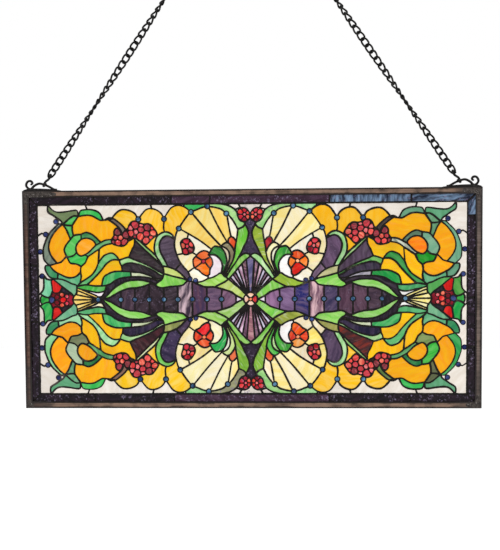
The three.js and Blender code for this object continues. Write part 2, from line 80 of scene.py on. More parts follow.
LINES = {
    # Centre flower and ray fan
    "flower_edge": [(0, 12.6), (4.4, 11.6), (7, 9.4), (7.4, 7.4), (9.4, 7), (11.6, 4.4), (12.6, 0)],
    "petal_cut": [(1.5, 1.5), (7.4, 7.4)],
    "ray_edge": [(0, 77), (5, 73), (10, 69), (20, 58), (28, 48), (35, 40), (39, 36)],
    "ray_low": [(39, 36), (30, 28), (20, 20), (7.4, 7.4)],
    "ray_a": [(7, 71), (2.6, 13)],
    "ray_b": [(15, 63), (4.8, 12)],
    "ray_c": [(22, 55), (6.2, 11)],
    "ray_d": [(27, 49), (7, 10)],
    "ray_e": [(31, 44), (7.4, 9)],
    "ray_f": [(36, 39), (7.5, 8.2)],
    # Sheaf of leaves
    "first_leaf": [(0, 77), (2, 80), (8, 82), (14, 80), (20, 75)],
    "tall_leaf": [(9, 134), (5, 126), (3, 118), (6, 105), (12, 93), (18, 80), (26, 66), (34, 55), (43, 39.5)],
    "tall_leaf_head": [(9, 134), (13, 129), (22, 125)],
    "disc_left": [(22, 125), (23, 115), (25, 103), (27, 92), (28, 82), (31, 70), (37, 58), (45.5, 41)],
    "curl_outer": [(28, 85), (32, 93), (38, 100), (44, 101), (50, 97), (52, 93)],
    "curl_inner": [(51.5, 95), (43, 91), (38, 84), (37, 75), (39, 65), (47.5, 42.5)],
    "curl_leaf": [(52, 93), (46, 85), (43, 76), (42, 68), (44, 58), (50, 45)],
    "curl_crown": [(52, 93), (57, 94), (63, 95), (68, 91), (71.5, 85), (74.5, 79.5)],
    "curl_ground": [(74.5, 79.5), (63, 79), (56, 74), (51, 66), (50, 58), (52, 46.5)],
    "olive_top": [(39, 36), (46, 41), (53, 47), (60, 43), (68, 39), (76, 37), (84, 33), (92, 31), (99, 29.6)],
    "olive_low": [(39, 36), (46, 31), (54, 27), (64, 22)],
    # Level band
    "band_start": [(12.6, 0), (25, 6), (35, 13), (50, 18), (65, 22), (80, 22), (92, 26), (100, 30),
                   (106, 32.5), (112, 33)],
    "band_middle": [(112, 33), (116, 30), (120, 26), (130, 24), (145, 23), (160, 21), (168, 24)],
    "band_tail": [(168, 24), (174, 28), (180, 28), (190, 24), (204, 21), (217, 20), (227, 17), (238, 12),
                  (250, 5), (262, 0)],
    "band_cut_a": [(26, 0), (26, 6)],
    "band_cut_b": [(52, 3.6), (51, 18)],
    "band_cut_c": [(78, 3.6), (78, 22)],
    "band_cut_d": [(104, 3.6), (104, 30)],
    "band_cut_e": [(130, 3.6), (130, 24)],
    "band_cut_f": [(155, 3.6), (155, 22)],
    "band_cut_g": [(181, 3.6), (181, 28)],
    "band_cut_h": [(207, 3.6), (207, 20)],
    "band_cut_i": [(232, 3.6), (232, 15)],
    # Blossom on its ground
    "blossom": [(73, 45), (72, 54), (67, 63), (69, 73), (73, 78), (74, 84), (83, 87), (92, 83), (97, 77),
                (102, 71), (101, 60), (98, 55), (92, 52), (86, 46), (78, 42), (73, 45)],
    "blossom_cut_a": [(81, 70.5), (71, 76)],
    "blossom_cut_b": [(87, 70.5), (97, 77)],
    "blossom_cut_c": [(86.5, 65.5), (99, 56)],
    "blossom_cut_d": [(80.5, 66), (72, 55)],
    "blossom_stalk": [(76, 43), (75, 37)],
    "blossom_side": [(100, 57), (111, 49)],
    "blossom_head": [(95, 79), (103, 84)],
    "nugget_bed": [(108, 107), (114, 109), (120, 107), (124, 102), (123, 95), (121, 88), (120, 82), (114, 80),
                   (108, 82), (103, 84), (100, 90), (101, 97), (108, 107)],
    "bed_head": [(112, 109), (110, 117)],
    "bed_side": [(120, 82), (131, 80)],
    "rim_right": [(127, 127), (131, 120), (134, 108), (135, 98), (134, 90), (131, 80), (126, 68), (118, 57),
                  (111, 49), (107.5, 40)],
    # Shell of five ribs
    "bud_edge": [(25, 104), (30, 110), (34, 112), (39, 107), (39, 100)],
    "rib_a": [(34, 112), (36, 120), (41, 150)],
    "rib_b": [(41, 101), (44, 107), (57, 130), (73, 163)],
    "rib_c": [(52, 95), (75, 120), (103, 154)],
    "rib_d": [(70, 90), (88, 104), (109, 117), (125, 126)],
    "rim": [(22, 125), (25, 131), (30, 140), (37, 149), (42, 153), (50, 160), (58, 163), (67, 165), (76, 165.5),
            (85, 164), (95, 160), (105, 156), (112, 149), (120, 138), (127, 127)],
    "rim_leaf": [(9, 134), (11, 138), (17, 140), (21, 146), (24, 156), (28, 161), (36, 166), (46, 169),
                 (55, 170.5)],
    "rim_leaf_end": [(118, 166), (117, 170.5)],
    "bud_ring": [(10, 138), (5, 140), (1, 145), (0, 150), (3, 157), (8, 162), (15, 163), (21, 162), (27, 160)],
    "bud_lead": [(17, 163), (21, 170.5)],
    # Scallops
    "scallop_a": [(105, 156), (112, 162), (118, 166), (126, 168), (134, 167), (141, 163), (147, 155), (152, 147)],
    "scallop_b": [(154, 147), (158, 154), (164, 159), (171, 162), (178, 163), (185, 161), (191, 155), (197, 147)],
    "scallop_c": [(201, 147), (205, 154), (211, 158), (220, 161), (230, 161), (238, 156), (246, 147)],
    "scallop_cut_a": [(153, 140), (154, 128), (152, 120)],
    "scallop_cut_b": [(199, 140), (202, 139)],
    "scallop_lead": [(175, 163), (177, 170.5)],
    "berry_bed": [(166, 118), (172, 128), (177, 134), (183, 136), (190, 135), (196, 137), (205, 141), (212, 139),
                  (216, 133), (218, 128), (223, 125), (229, 117), (232, 124), (237, 129), (243, 123), (243, 115),
                  (248, 107), (246, 101), (240, 98), (230, 96), (223, 98), (217, 105), (211, 108), (206, 111),
                  (200, 107), (195, 103), (188, 98), (182, 101), (177, 107), (171, 112), (166, 118)],
    "berry_leaf": [(222, 126), (228, 133), (236, 140), (243, 145), (252, 147), (258, 144)],
    "berry_stem": [(229, 121), (234, 129), (243, 137), (253, 144)],
    # Club and pale leaf
    "club": [(134, 108), (144, 113), (152, 113), (158, 108), (162, 98), (160, 85), (155, 75), (149, 63), (147, 58)],
    "club_cut": [(125, 64), (133, 54)],
    "pale_leaf": [(134, 107), (138, 115), (145, 120), (152, 121), (160, 118), (166, 113), (170, 102), (171, 90),
                  (168, 78), (162, 68), (157, 60)],
    "low_olive_top": [(112, 33), (118, 40), (126, 48), (135, 54), (146, 58), (157, 60)],
    "low_olive_under": [(113, 34), (120, 37), (128, 39), (140, 42), (150, 45), (155, 46)],
    "stalk": [(157, 60), (155, 52), (155, 45), (157, 38), (162, 33), (168, 29), (170, 25)],
    # Dark petals and blades
    "stem_up": [(157, 60), (170, 80), (185, 94), (199, 107)],
    "stem_under": [(159, 61), (173, 75), (187, 88), (205, 106)],
    "petal_a_end": [(206, 110), (207, 98), (212, 88), (217, 76)],
    "blade_a_top": [(155, 46), (165, 51), (180, 60), (195, 67), (208, 72), (217, 76), (226, 74), (234, 71)],
    "blade_a_under": [(155, 42), (163, 45), (175, 53), (190, 60), (203, 64), (215, 66), (224, 64), (230, 60)],
    "blade_a_end": [(230, 60), (233, 66), (234, 71)],
    "petal_b_under": [(157, 38), (165, 37), (172, 39), (180, 43), (195, 48), (205, 49), (215, 50), (229, 51)],
    "petal_b_end": [(229, 51), (230, 60)],
    "pale_blade_under": [(161, 34), (167, 34), (175, 37), (185, 40), (200, 41), (213, 41)],
    "pale_blade_end": [(213, 41), (214, 50)],
    "green_blade_top": [(229, 51), (235, 51), (245, 50), (255, 46), (262, 41), (265, 32), (266, 25)],
    "green_blade_under": [(213, 41), (225, 40), (235, 38), (243, 34), (250, 29), (258, 26), (266, 25)],
    "petal_c_end": [(258, 26), (260, 18), (264, 9), (269, 2.5)],
    "petal_c_under": [(169, 28), (182, 32), (195, 35), (210, 35), (222, 33), (235, 27), (245, 20), (255, 10),
                      (265, 0)],
    "band_tip": [(262, 0), (269.4, 0)],
    # Amber arch and its green arc
    "arc_outer": [(234, 71), (238, 77), (243, 82), (249, 84), (256, 82), (262, 79), (267, 73), (272, 66), (276, 56),
                  (283, 46), (292, 39), (300, 34), (306, 30), (311, 24)],
    "arc_inner": [(234, 71), (243, 72), (250, 70), (258, 64), (266, 54), (275, 44), (285, 34), (293, 27)],
    "end_blade_top": [(266, 25), (280, 25), (293, 27), (303, 26), (311, 24)],
    "end_blade_under": [(261, 16), (266, 14), (275, 13), (290, 16), (300, 18), (311, 21)],
    "end_fan_top": [(266, 6), (272, 5), (280, 9), (290, 13), (302, 18)],
    "end_fan_end": [(311, 24), (312, 12), (317, 6), (319, 0)],
    "end_fan_ray": [(276.6, 1.6), (311, 9)],
    "end_fan_ray_b": [(276, 2.6), (308, 16)],
    "end_fan_axis": [(276.6, 0), (319, 0)],
    # Rose
    "rose_stem_up": [(247, 108), (258, 107), (267, 103), (276, 98)],
    "rose_stem_under": [(247, 101), (257, 99), (264, 96), (270, 91)],
    "left_petal_side": [(270, 91), (271, 77), (272, 66)],
    "left_petal_top": [(270, 91), (277, 87), (284, 82), (290, 78), (293, 72), (296, 66), (302, 61), (304, 56),
                       (304, 48), (303, 42), (305, 32)],
    "rose_disc": [(276, 99), (280, 106), (287, 110), (295, 111), (303, 108), (310, 100), (312, 92), (310, 84),
                  (304, 79), (296, 81), (288, 86), (282, 92), (276, 99)],
    "disc_tail": [(296, 81), (290, 78)],
    "ring_outer": [(267, 103), (276, 112), (284, 118), (293, 121), (302, 118), (310, 117), (316, 115), (323, 107),
                   (330, 98), (333, 90), (331, 83), (328, 77), (325, 70), (322, 66), (316, 65), (310, 64),
                   (303, 60)],
    "ring_cut_a": [(302, 119), (302, 108)],
    "ring_cut_b": [(311, 85), (316, 80), (322, 78), (328, 77)],
    "sepal_left": [(316, 115), (318, 125), (318, 134)],
    "sepal_right": [(321.5, 109), (326, 120), (329, 127), (335, 136)],
    "brown_top": [(307, 150), (314, 151), (322, 147), (330, 140), (335, 136)],
    "brown_under": [(307, 150), (312, 143), (318, 134)],
    "brown_base": [(318, 134), (326, 134), (335, 136)],
    "right_petal_out": [(335, 136), (343, 130), (350, 122), (356, 113), (360, 103), (361, 92), (358, 82), (353, 74),
                        (346, 66)],
    "right_petal_low": [(329, 78), (334, 73), (339, 68), (346, 66)],
    "petal_bridge": [(346, 66), (353, 64), (359.5, 62)],
    "low_petal": [(304, 50), (310, 44), (316, 41), (324, 40), (332, 42), (340, 46), (348, 50),
                  (355, 56), (359, 62)],
    "green_band": [(335, 136), (342, 137), (350, 130), (358, 122), (364, 112), (368, 102), (371, 92), (371, 80),
                   (369, 71), (360, 62)],
    "big_amber_top": [(246, 145), (262, 143), (268, 143), (275, 147), (283, 151), (292, 152),
                      (300, 151), (307, 150)],
    "top_leaf_a": [(262, 143), (268, 155), (276, 160), (285, 162), (295, 162), (303, 160), (307, 150)],
    "top_leaf_b": [(307, 150), (308, 160), (315, 161), (328, 159), (342, 158), (350, 160), (356, 165),
                   (360, 170.5)],
    "top_leaf_c": [(335, 136), (338, 142), (345, 147), (352, 152), (361, 158), (362, 165), (361, 170.5)],
    "top_lead": [(291, 162), (294, 170.5)],
    "side_lead_a": [(368, 118), (373, 120), (381, 115)],
    "side_lead_b": [(377, 87), (381, 88)],
    # Leaves and bud at the side
    "dark_leaf_out": [(359, 62), (367, 62), (368, 56), (365, 48), (358, 40), (346, 38)],
    "dark_leaf_in": [(345, 48), (346, 38)],
    "side_blade": [(311, 24), (313, 27), (320, 29), (330, 34), (338, 37), (346, 38)],
    "side_blade_low": [(317, 6), (322, 12), (330, 18), (338, 24), (345, 30), (353, 37), (346, 38)],
    "side_bud": [(338, 24), (341, 17), (345, 13), (354, 14), (356, 25), (357, 35), (353, 37)],
    "side_dark": [(321, 11), (335, 12), (341, 17)],
    "side_leaf": [(357, 36), (366, 38), (370, 44), (371, 35), (371, 25), (373, 17), (377, 12), (374, 8), (368, 5),
                  (364, 4), (359, 7), (356, 15)],
    "side_lead_c": [(377, 12), (381, 9)],
    "side_lead_d": [(364, 4), (361, 2.4)],
    "side_round": [(374, 8), (377, 4), (377, 0)],
    "rim_gap": [(76, 168.5), (76, 170.5)],
}

# Round jewels of one size in a ring of solder: x, z
JEWELS = ((52, 0), (78, 0), (104, 0), (130, 0), (155, 0), (181, 0), (207, 0), (232, 0), (273, 0), (42, 153),
          (76, 166), (105, 156), (127, 127), (153, 144), (199, 144), (347, 141), (366, 118), (376.5, 87), (374, 43))

# Nuggets: x, z, radius, glass
NUGGETS = (
    (0, 0, 3.0, "peach"), (83.5, 68, 3.5, "heart"), (98, 33.8, 3.6, "dusk"), (108, 36.4, 3.7, "dusk"),
    (357, 0, 5.2, "dusk"), (336.5, 0, 5.2, "poppy"), (347.5, 4.8, 4.2, "garnet"), (338.5, 9.3, 3.8, "coral"),
    (329.5, 6.2, 3.3, "pink"),
)

# Nuggets packed close in a bed: x, z, radius, glass
PACKED = {
    "bud_bed": (
        (9.6, 151, 2.6, "pink"), (9.5, 158.6, 4.2, "crimson"), (16.4, 155.2, 3.8, "poppy"),
        (16.2, 147.4, 3.8, "crimson"), (10, 142.8, 3.8, "garnet"), (4.4, 146.8, 3.6, "coral"),
        (3.9, 154.4, 3.6, "poppy")),
    "nugget_bed": (
        (112.6, 95.4, 2.8, "pink"), (113.4, 104, 4.6, "crimson"), (104.8, 99, 4.4, "poppy"),
        (106.5, 88.4, 4.0, "garnet"), (115.8, 85.8, 4.6, "crimson"), (119.4, 96, 4.0, "coral")),
    "berry_bed": (
        (183, 129, 5.2, "garnet"), (173, 119.5, 4.6, "coral"), (185, 118, 4.6, "crimson"),
        (194.5, 125.5, 4.8, "crimson"), (196, 114, 5.2, "coral"), (185, 106.5, 4.6, "poppy"),
        (203.5, 121, 3.4, "pink"), (205, 133.4, 5.2, "crimson"), (213, 128.5, 3.4, "pink"),
        (212.5, 119.5, 4.4, "poppy"), (222, 116, 4.6, "garnet"), (231.5, 110.5, 3.8, "coral"),
        (225, 104, 4.4, "crimson"), (236, 103, 4.2, "poppy"), (239.5, 111.5, 3.2, "crimson"),
        (236.5, 121, 4.6, "garnet"), (194, 132.6, 2.4, "pink"), (174.5, 128, 2.8, "crimson"),
        (176.5, 111, 3.2, "poppy"), (205.5, 112, 2.2, "garnet"), (244.5, 103, 2.4, "garnet")),
}

# Which glass fills the piece around a point: x, z, glass
SEEDS = (
    (8, 2, "bloom_side"), (2, 8, "bloom"), (0, 45, "ray_centre"), (8, 43, "ray_plum"), (14, 41, "ray"),
    (18, 35, "ray_light"), (21, 32, "ray_plum"), (23.5, 28, "ray_light"), (26, 26.5, "ray_plum"),
    (20, 62, "leaf_light"), (25, 75, "leaf"), (34, 85, "spring"), (40, 74, "straw"), (46, 80, "grass"),
    (62, 55, "white"), (90, 40, "shell"), (70, 31, "olive"), (35, 20, "lime"), (2, 100, "upright"),
    (21, 1.2, "lilac"), (38, 8, "mauve"), (65, 12, "plum"), (91, 12, "navy"), (117, 12, "rosy"),
    (142, 12, "indigo"), (168, 12, "wine"), (194, 12, "wine"), (219, 10, "dusky"), (242, 2, "night"),
    (83, 80, "flame"), (74, 66, "poppy_petal"), (95, 65, "poppy_petal"), (82, 52, "ember"),
    (112, 70, "shell_warm"), (118, 115, "shell_warm"), (90, 100, "shell"), (97, 81, "shell"),
    (32, 103, "bud"), (30, 130, "shell"), (45, 135, "fan"), (70, 140, "fan_cream"), (95, 130, "fan"),
    (33, 159, "rim"), (100, 166, "rim_end"), (20, 168, "ground"), (30, 168, "ground"), (2, 166, "ground"),
    (135, 140, "scallop"), (176, 148, "scallop"), (222, 147, "scallop"), (168, 100, "leaf_pale"),
    (150, 95, "club"), (118, 50, "club_foot"), (135, 48, "moss"), (140, 34, "lime_bright"),
    (180, 85.5, "stem"), (190, 80, "petal_a"), (195, 62, "blade"), (195, 54, "petal_b"),
    (195, 44, "blade_pale"), (245, 42, "grass_cool"), (200, 38, "petal_c"), (200, 29, "spear"),
    (176, 104, "scallop"), (230, 85, "amber"), (245, 60, "amber"), (255, 78, "arc"), (275, 19, "end_leaf"),
    (272, 9, "white"), (295, 3, "end_fan"), (296, 9, "end_fan"), (289, 10.5, "end_fan"),
    (262, 102, "rose_stem"), (283, 65, "amber"),
    (295, 95, "disc"), (285, 114, "ring_dark"), (322, 97, "ring_bright"), (310, 72, "ring_low"),
    (321, 122, "sepal"), (322, 143, "sepal"), (343, 100, "petal"), (325, 55, "petal"),
    (290, 135, "amber_deep"), (365, 90, "band_green"), (240, 139, "berry_stalk"), (285, 156, "top_leaf"),
    (330, 154, "teal"), (320, 35, "low_leaf"), (354, 46, "dark_leaf"), (325, 23, "side_blade"),
    (349, 22, "bud_red"), (331, 15, "night"), (364, 25, "side_leaf"), (370, 2, "emerald"),
    (350, 9.8, "garnet"), (377, 60, "ground"), (376, 140, "ground"), (200, 167, "ground"),
    (150, 167, "ground"), (320, 166, "ground"), (270, 166, "ground"), (378, 20, "ground"), (379, 3, "ground"),
    (378.5, 105, "ground"),
)

QUARTERS = (("upper_left", -1, 1), ("upper_right", 1, 1), ("lower_left", -1, -1), ("lower_right", 1, -1))


def srgb(*values):
    """Linear colour from eight-bit screen values."""
    linear = []
    for value in values:
        c = value / 255
        linear.append(c / 12.92 if c <= 0.04045 else ((c + 0.055) / 1.055) ** 2.4)
    return tuple(linear)


# Tone and vein of each glass
GLASS = {
    "ground": ((230, 220, 208), (242, 236, 228)), "white": ((244, 240, 236), (252, 250, 248)),
    "shell": ((250, 240, 208), (253, 248, 232)), "shell_warm": ((249, 232, 168), (252, 242, 206)),
    "fan": ((249, 226, 136), (252, 240, 186)), "fan_cream": ((252, 236, 186), (250, 242, 214)),
    "end_fan": ((246, 228, 120), (252, 242, 190)), "scallop": ((249, 192, 70), (252, 208, 98)),
    "amber": ((250, 184, 56), (252, 200, 84)), "amber_deep": ((251, 172, 42), (252, 190, 66)),
    "petal": ((250, 166, 42), (248, 184, 74)), "disc": ((250, 178, 40), (247, 158, 52)),
    "flame": ((240, 142, 78), (248, 186, 128)), "ember": ((206, 76, 40), (232, 118, 64)),
    "poppy_petal": ((204, 62, 46), (228, 104, 76)), "poppy": ((200, 46, 50), (232, 106, 100)),
    "peach": ((238, 156, 118), (250, 202, 168)), "heart": ((228, 132, 98), (246, 188, 150)),
    "bloom": ((250, 200, 172), (252, 232, 214)), "bloom_side": ((196, 44, 52), (230, 110, 104)),
    "coral": ((200, 62, 56), (240, 140, 118)), "pink": ((206, 76, 90), (240, 150, 148)),
    "crimson": ((150, 20, 42), (206, 66, 78)), "garnet": ((100, 16, 34), (166, 44, 62)),
    "bud": ((206, 88, 62), (228, 128, 96)), "bud_red": ((184, 24, 34), (214, 66, 62)),
    "leaf": ((146, 190, 76), (112, 168, 60)), "leaf_light": ((116, 190, 78), (166, 212, 122)),
    "leaf_pale": ((140, 206, 128), (196, 230, 180)), "spring": ((66, 182, 72), (128, 206, 104)),
    "straw": ((130, 198, 104), (206, 228, 170)), "grass": ((84, 174, 68), (44, 132, 54)),
    "grass_cool": ((58, 166, 92), (104, 192, 116)), "lime": ((110, 192, 74), (156, 212, 104)),
    "lime_bright": ((128, 206, 86), (172, 224, 126)), "spear": ((132, 204, 92), (168, 216, 136)),
    "olive": ((134, 146, 58), (168, 176, 84)), "moss": ((178, 172, 98), (150, 152, 82)),
    "teal": ((104, 166, 128), (84, 148, 104)), "emerald": ((40, 146, 62), (84, 180, 86)),
    "ring_dark": ((34, 112, 62), (70, 140, 86)), "ring_bright": ((48, 178, 60), (110, 206, 104)),
    "ring_low": ((112, 140, 82), (146, 164, 108)), "sepal": ((116, 168, 128), (88, 142, 100)),
    "band_green": ((46, 150, 76), (92, 176, 108)), "top_leaf": ((56, 180, 84), (104, 204, 116)),
    "low_leaf": ((92, 170, 122), (130, 192, 146)), "dark_leaf": ((46, 132, 84), (90, 156, 112)),
    "side_blade": ((108, 170, 134), (140, 196, 152)), "side_leaf": ((28, 158, 74), (90, 188, 100)),
    "end_leaf": ((98, 178, 120), (70, 156, 96)), "arc": ((92, 180, 112), (132, 204, 134)),
    "rose_stem": ((80, 152, 92), (120, 180, 124)), "stem": ((132, 188, 108), (178, 208, 150)),
    "berry_stalk": ((84, 116, 62), (120, 146, 88)), "blade": ((142, 202, 130), (192, 222, 168)),
    "blade_pale": ((198, 212, 170), (228, 230, 208)), "petal_a": ((58, 32, 36), (118, 50, 44)),
    "petal_b": ((26, 24, 50), (60, 46, 76)), "petal_c": ((28, 22, 34), (62, 50, 66)),
    "club": ((64, 48, 76), (96, 74, 102)), "club_foot": ((62, 46, 74), (92, 70, 96)),
    "lilac": ((226, 206, 230), (250, 240, 246)), "mauve": ((158, 112, 156), (118, 80, 120)),
    "plum": ((110, 80, 122), (140, 108, 152)), "navy": ((30, 34, 104), (104, 82, 122)),
    "rosy": ((116, 76, 98), (232, 188, 194)), "indigo": ((52, 46, 84), (96, 78, 112)),
    "wine": ((74, 46, 66), (104, 72, 92)), "dusky": ((58, 42, 58), (88, 66, 80)),
    "night": ((30, 24, 36), (58, 46, 62)), "dusk": ((24, 30, 84), (70, 92, 160)),
    "ray": ((186, 140, 172), (236, 204, 226)), "ray_centre": ((152, 92, 108), (206, 150, 156)),
    "ray_plum": ((98, 62, 84), (150, 110, 140)), "ray_light": ((226, 222, 244), (196, 180, 216)),
    "upright": ((38, 28, 44), (60, 46, 68)), "rim": ((146, 206, 124), (186, 224, 156)),
    "rim_end": ((140, 208, 138), (184, 226, 168)), "border": ((23, 15, 22), (46, 31, 44)),
    # The bright border glass has blue-white streaks that are a painted reflection on glossy glass
    "border_plum": ((52, 30, 48), (84, 58, 80)), "border_shine": ((24, 30, 52), (136, 170, 208)),
    "jewel": ((24, 62, 108), (104, 164, 200)),
}

# Quarters whose glass was cut from another sheet
ALTERED = {
    "upper_right": {
        "spring": ((232, 224, 150), (242, 236, 190)), "straw": ((240, 238, 220), (216, 222, 180)),
        "leaf_light": ((152, 208, 134), (190, 226, 168)), "leaf": ((134, 164, 60), (168, 188, 74)),
        "olive": ((158, 188, 70), (130, 168, 64)), "flame": ((214, 74, 44), (232, 116, 74)),
        "poppy_petal": ((236, 122, 66), (242, 154, 96)), "ember": ((200, 52, 40), (222, 92, 66)),
        "club": ((108, 80, 112), (78, 58, 84)), "club_foot": ((142, 114, 138), (98, 74, 102)),
        "petal_a": ((88, 68, 92), (64, 48, 66)), "petal_b": ((66, 54, 76), (40, 34, 52)),
        "side_leaf": ((60, 142, 60), (104, 166, 84)), "disc": ((244, 130, 32), (246, 156, 62)),
        "scallop": ((248, 184, 76), (250, 198, 104)), "bud": ((150, 38, 48), (180, 70, 72)),
        "arc": ((36, 132, 56), (74, 158, 84)), "rose_stem": ((208, 214, 196), (120, 132, 118)),
        "ring_dark": ((104, 134, 112), (78, 108, 86)), "ring_bright": ((116, 168, 138), (142, 184, 152)),
        "ring_low": ((26, 140, 38), (60, 162, 62)), "band_green": ((120, 172, 140), (92, 146, 114)),
        "top_leaf": ((108, 158, 128), (84, 136, 104)), "side_blade": ((84, 162, 84), (110, 180, 104)),
        "dark_leaf": ((104, 156, 126), (76, 128, 96)), "berry_stalk": ((62, 54, 54), (92, 80, 74)),
        "blade": ((128, 190, 108), (84, 164, 84)), "blade_pale": ((186, 180, 192), (150, 146, 160)),
        "grass_cool": ((30, 148, 68), (84, 174, 92)), "moss": ((206, 200, 150), (176, 180, 120)),
        "upright": ((66, 52, 80), (40, 34, 56)), "ray_centre": ((84, 80, 128), (126, 116, 158)),
    },
    "upper_left": {
        "bloom_side": ((240, 170, 140), (250, 214, 190)), "lime": ((176, 198, 94), (198, 216, 134)),
        "olive": ((146, 200, 84), (176, 218, 120)), "white": ((244, 228, 236), (250, 240, 246)),
        "heart": ((136, 24, 50), (178, 58, 80)), "upright": ((66, 52, 80), (40, 34, 56)),
        "ray_centre": ((84, 80, 128), (126, 116, 158)), "disc": ((246, 166, 78), (248, 184, 108)),
        "spring": ((128, 116, 92), (160, 150, 116)), "straw": ((196, 178, 146), (222, 208, 184)),
        "leaf": ((108, 194, 66), (150, 206, 96)), "grass": ((40, 112, 52), (66, 142, 66)),
        "club": ((64, 52, 68), (92, 76, 94)), "club_foot": ((76, 60, 80), (104, 86, 104)),
        "fan": ((250, 206, 94), (252, 222, 128)), "fan_cream": ((250, 216, 112), (252, 230, 150)),
        "flame": ((220, 104, 66), (236, 138, 96)), "poppy_petal": ((218, 98, 62), (232, 132, 92)),
        "ember": ((228, 118, 48), (238, 148, 84)), "rim_end": ((60, 184, 92), (112, 206, 122)),
        "petal_a": ((42, 34, 40), (66, 52, 58)), "petal_b": ((36, 30, 36), (60, 50, 56)),
        "ring_dark": ((82, 150, 92), (50, 118, 68)), "ring_bright": ((88, 194, 92), (128, 210, 124)),
        "ring_low": ((62, 184, 82), (96, 202, 108)), "sepal": ((74, 178, 88), (110, 198, 116)),
        "band_green": ((106, 118, 106), (134, 148, 130)), "teal": ((104, 122, 84), (132, 148, 108)),
        "side_leaf": ((110, 196, 150), (142, 212, 172)), "moss": ((202, 218, 124), (224, 232, 156)),
        "end_fan": ((249, 206, 96), (252, 222, 136)), "berry_stalk": ((110, 96, 88), (136, 122, 110)),
        "end_leaf": ((72, 176, 72), (116, 198, 110)), "mauve": ((106, 72, 102), (150, 110, 138)),
        "plum": ((84, 62, 92), (120, 90, 118)), "navy": ((98, 62, 86), (66, 48, 84)),
        "rosy": ((58, 44, 62), (206, 176, 186)), "indigo": ((40, 30, 40), (78, 64, 74)),
        "wine": ((36, 26, 34), (66, 50, 62)),
    },
    "lower_left": {
        "bloom_side": ((240, 170, 140), (250, 214, 190)), "lime": ((148, 196, 96), (182, 216, 140)),
        "olive": ((140, 198, 82), (170, 216, 118)), "white": ((250, 240, 190), (252, 246, 216)),
        "scallop": ((249, 198, 66), (250, 214, 104)), "shell": ((250, 226, 140), (252, 238, 186)),
        "fan": ((248, 236, 172), (252, 242, 208)), "spring": ((188, 216, 128), (216, 230, 168)),
        "straw": ((238, 236, 222), (214, 220, 190)), "grass": ((36, 166, 80), (84, 190, 104)),
        "flame": ((222, 88, 62), (236, 124, 92)), "ember": ((208, 34, 50), (226, 78, 80)),
        "petal_a": ((48, 26, 32), (74, 40, 46)), "petal": ((251, 160, 36), (250, 178, 64)),
        "arc": ((150, 212, 150), (186, 228, 178)), "low_leaf": ((148, 208, 160), (176, 220, 178)),
        "ring_bright": ((164, 186, 156), (190, 206, 176)), "ring_low": ((108, 118, 84), (134, 142, 106)),
        "band_green": ((136, 202, 146), (166, 216, 166)), "stem": ((208, 222, 158), (226, 232, 190)),
        "moss": ((132, 140, 80), (164, 168, 104)), "end_fan": ((246, 208, 104), (250, 224, 144)),
        "berry_stalk": ((140, 112, 98), (104, 80, 72)), "rim": ((136, 134, 104), (166, 168, 128)),
        "leaf_pale": ((110, 198, 86), (150, 214, 124)), "club": ((46, 36, 68), (74, 58, 92)),
    },
    "lower_right": {
        "sepal": ((88, 94, 68), (112, 120, 84)), "shell": ((251, 230, 186), (253, 242, 214)),
        "shell_warm": ((248, 222, 104), (251, 236, 160)),
    },
}


def length(name, description, default, low, high):
    return FloatProperty(name=name, description=description, default=default, min=low, max=high, unit="LENGTH")


def paint(name, description, *values):
    return FloatVectorProperty(name=name, description=description, subtype="COLOR", default=srgb(*values),
                               min=0, max=1)


class PanelSizes(bpy.types.PropertyGroup):
    """Sizes that a maker would change."""

    solder_width: length("Solder width", "Mean width of a solder line", 0.0033, 0.001, 0.006)
    solder_depth: length("Solder depth", "Front to back depth of a solder line", NET_HIGH[1] - NET_LOW[1],
                         0.002, 0.01)
    glass_thickness: length("Glass thickness", "Thickness of the sheet glass", 0.003, 0.001, 0.006)
    jewel_radius: length("Jewel radius", "Radius of a jewel in its ring", 0.0041, 0.002, 0.01)
    nugget_dome: length("Nugget dome", "Half depth of a nugget or jewel at its middle", 0.0033, 0.001, 0.008)
    wire_diameter: length("Hanger wire", "Diameter of the hanger wire", 0.0044, 0.001, 0.006)
    hook_wire: length("Hook wire", "Diameter of the hook wire", 0.0042, 0.001, 0.006)
    link_wire: length("Link wire", "Diameter of the chain wire", 0.0034, 0.001, 0.006)
    link_width: length("Link width", "Outer width of a chain link", 0.0136, 0.005, 0.02)
    link_count: IntProperty(name="Links in a leg", description="How many links each leg has", default=47, min=3,
                            max=200)


class PanelColours(bpy.types.PropertyGroup):
    """Finishes of the metal, and the painted glow that stands in for the light through the glass."""

    solder: paint("Solder", "Darkened solder", 14, 11, 10)
    solder_edge: paint("Solder edge", "Brown copper at the edge of the solder", 54, 34, 24)
    channel: paint("Channel", "Brown patina of the frame", 139, 112, 95)
    # Dark patina of the frame, also laid along the channel's lips as painted shade
    channel_patina_and_painted_shade: paint("Channel shade", "Dark patina of the frame", 16, 12, 11)
    wire: paint("Hanger", "Hanger wire", 20, 17, 16)
    chain: paint("Chain", "Blackened chain and hooks", 10, 9, 8)
    # Strength of the painted glow: emission in each glass's own colour stands in for light through the glass from
    # behind
    painted_glow: FloatProperty(name="Glow", description="Light that comes through the glass", default=0.3, min=0,
                        max=2)


def sizes():
    return bpy.context.scene.panel_sizes


def colours():
    return bpy.context.scene.panel_colours


# Shader maths

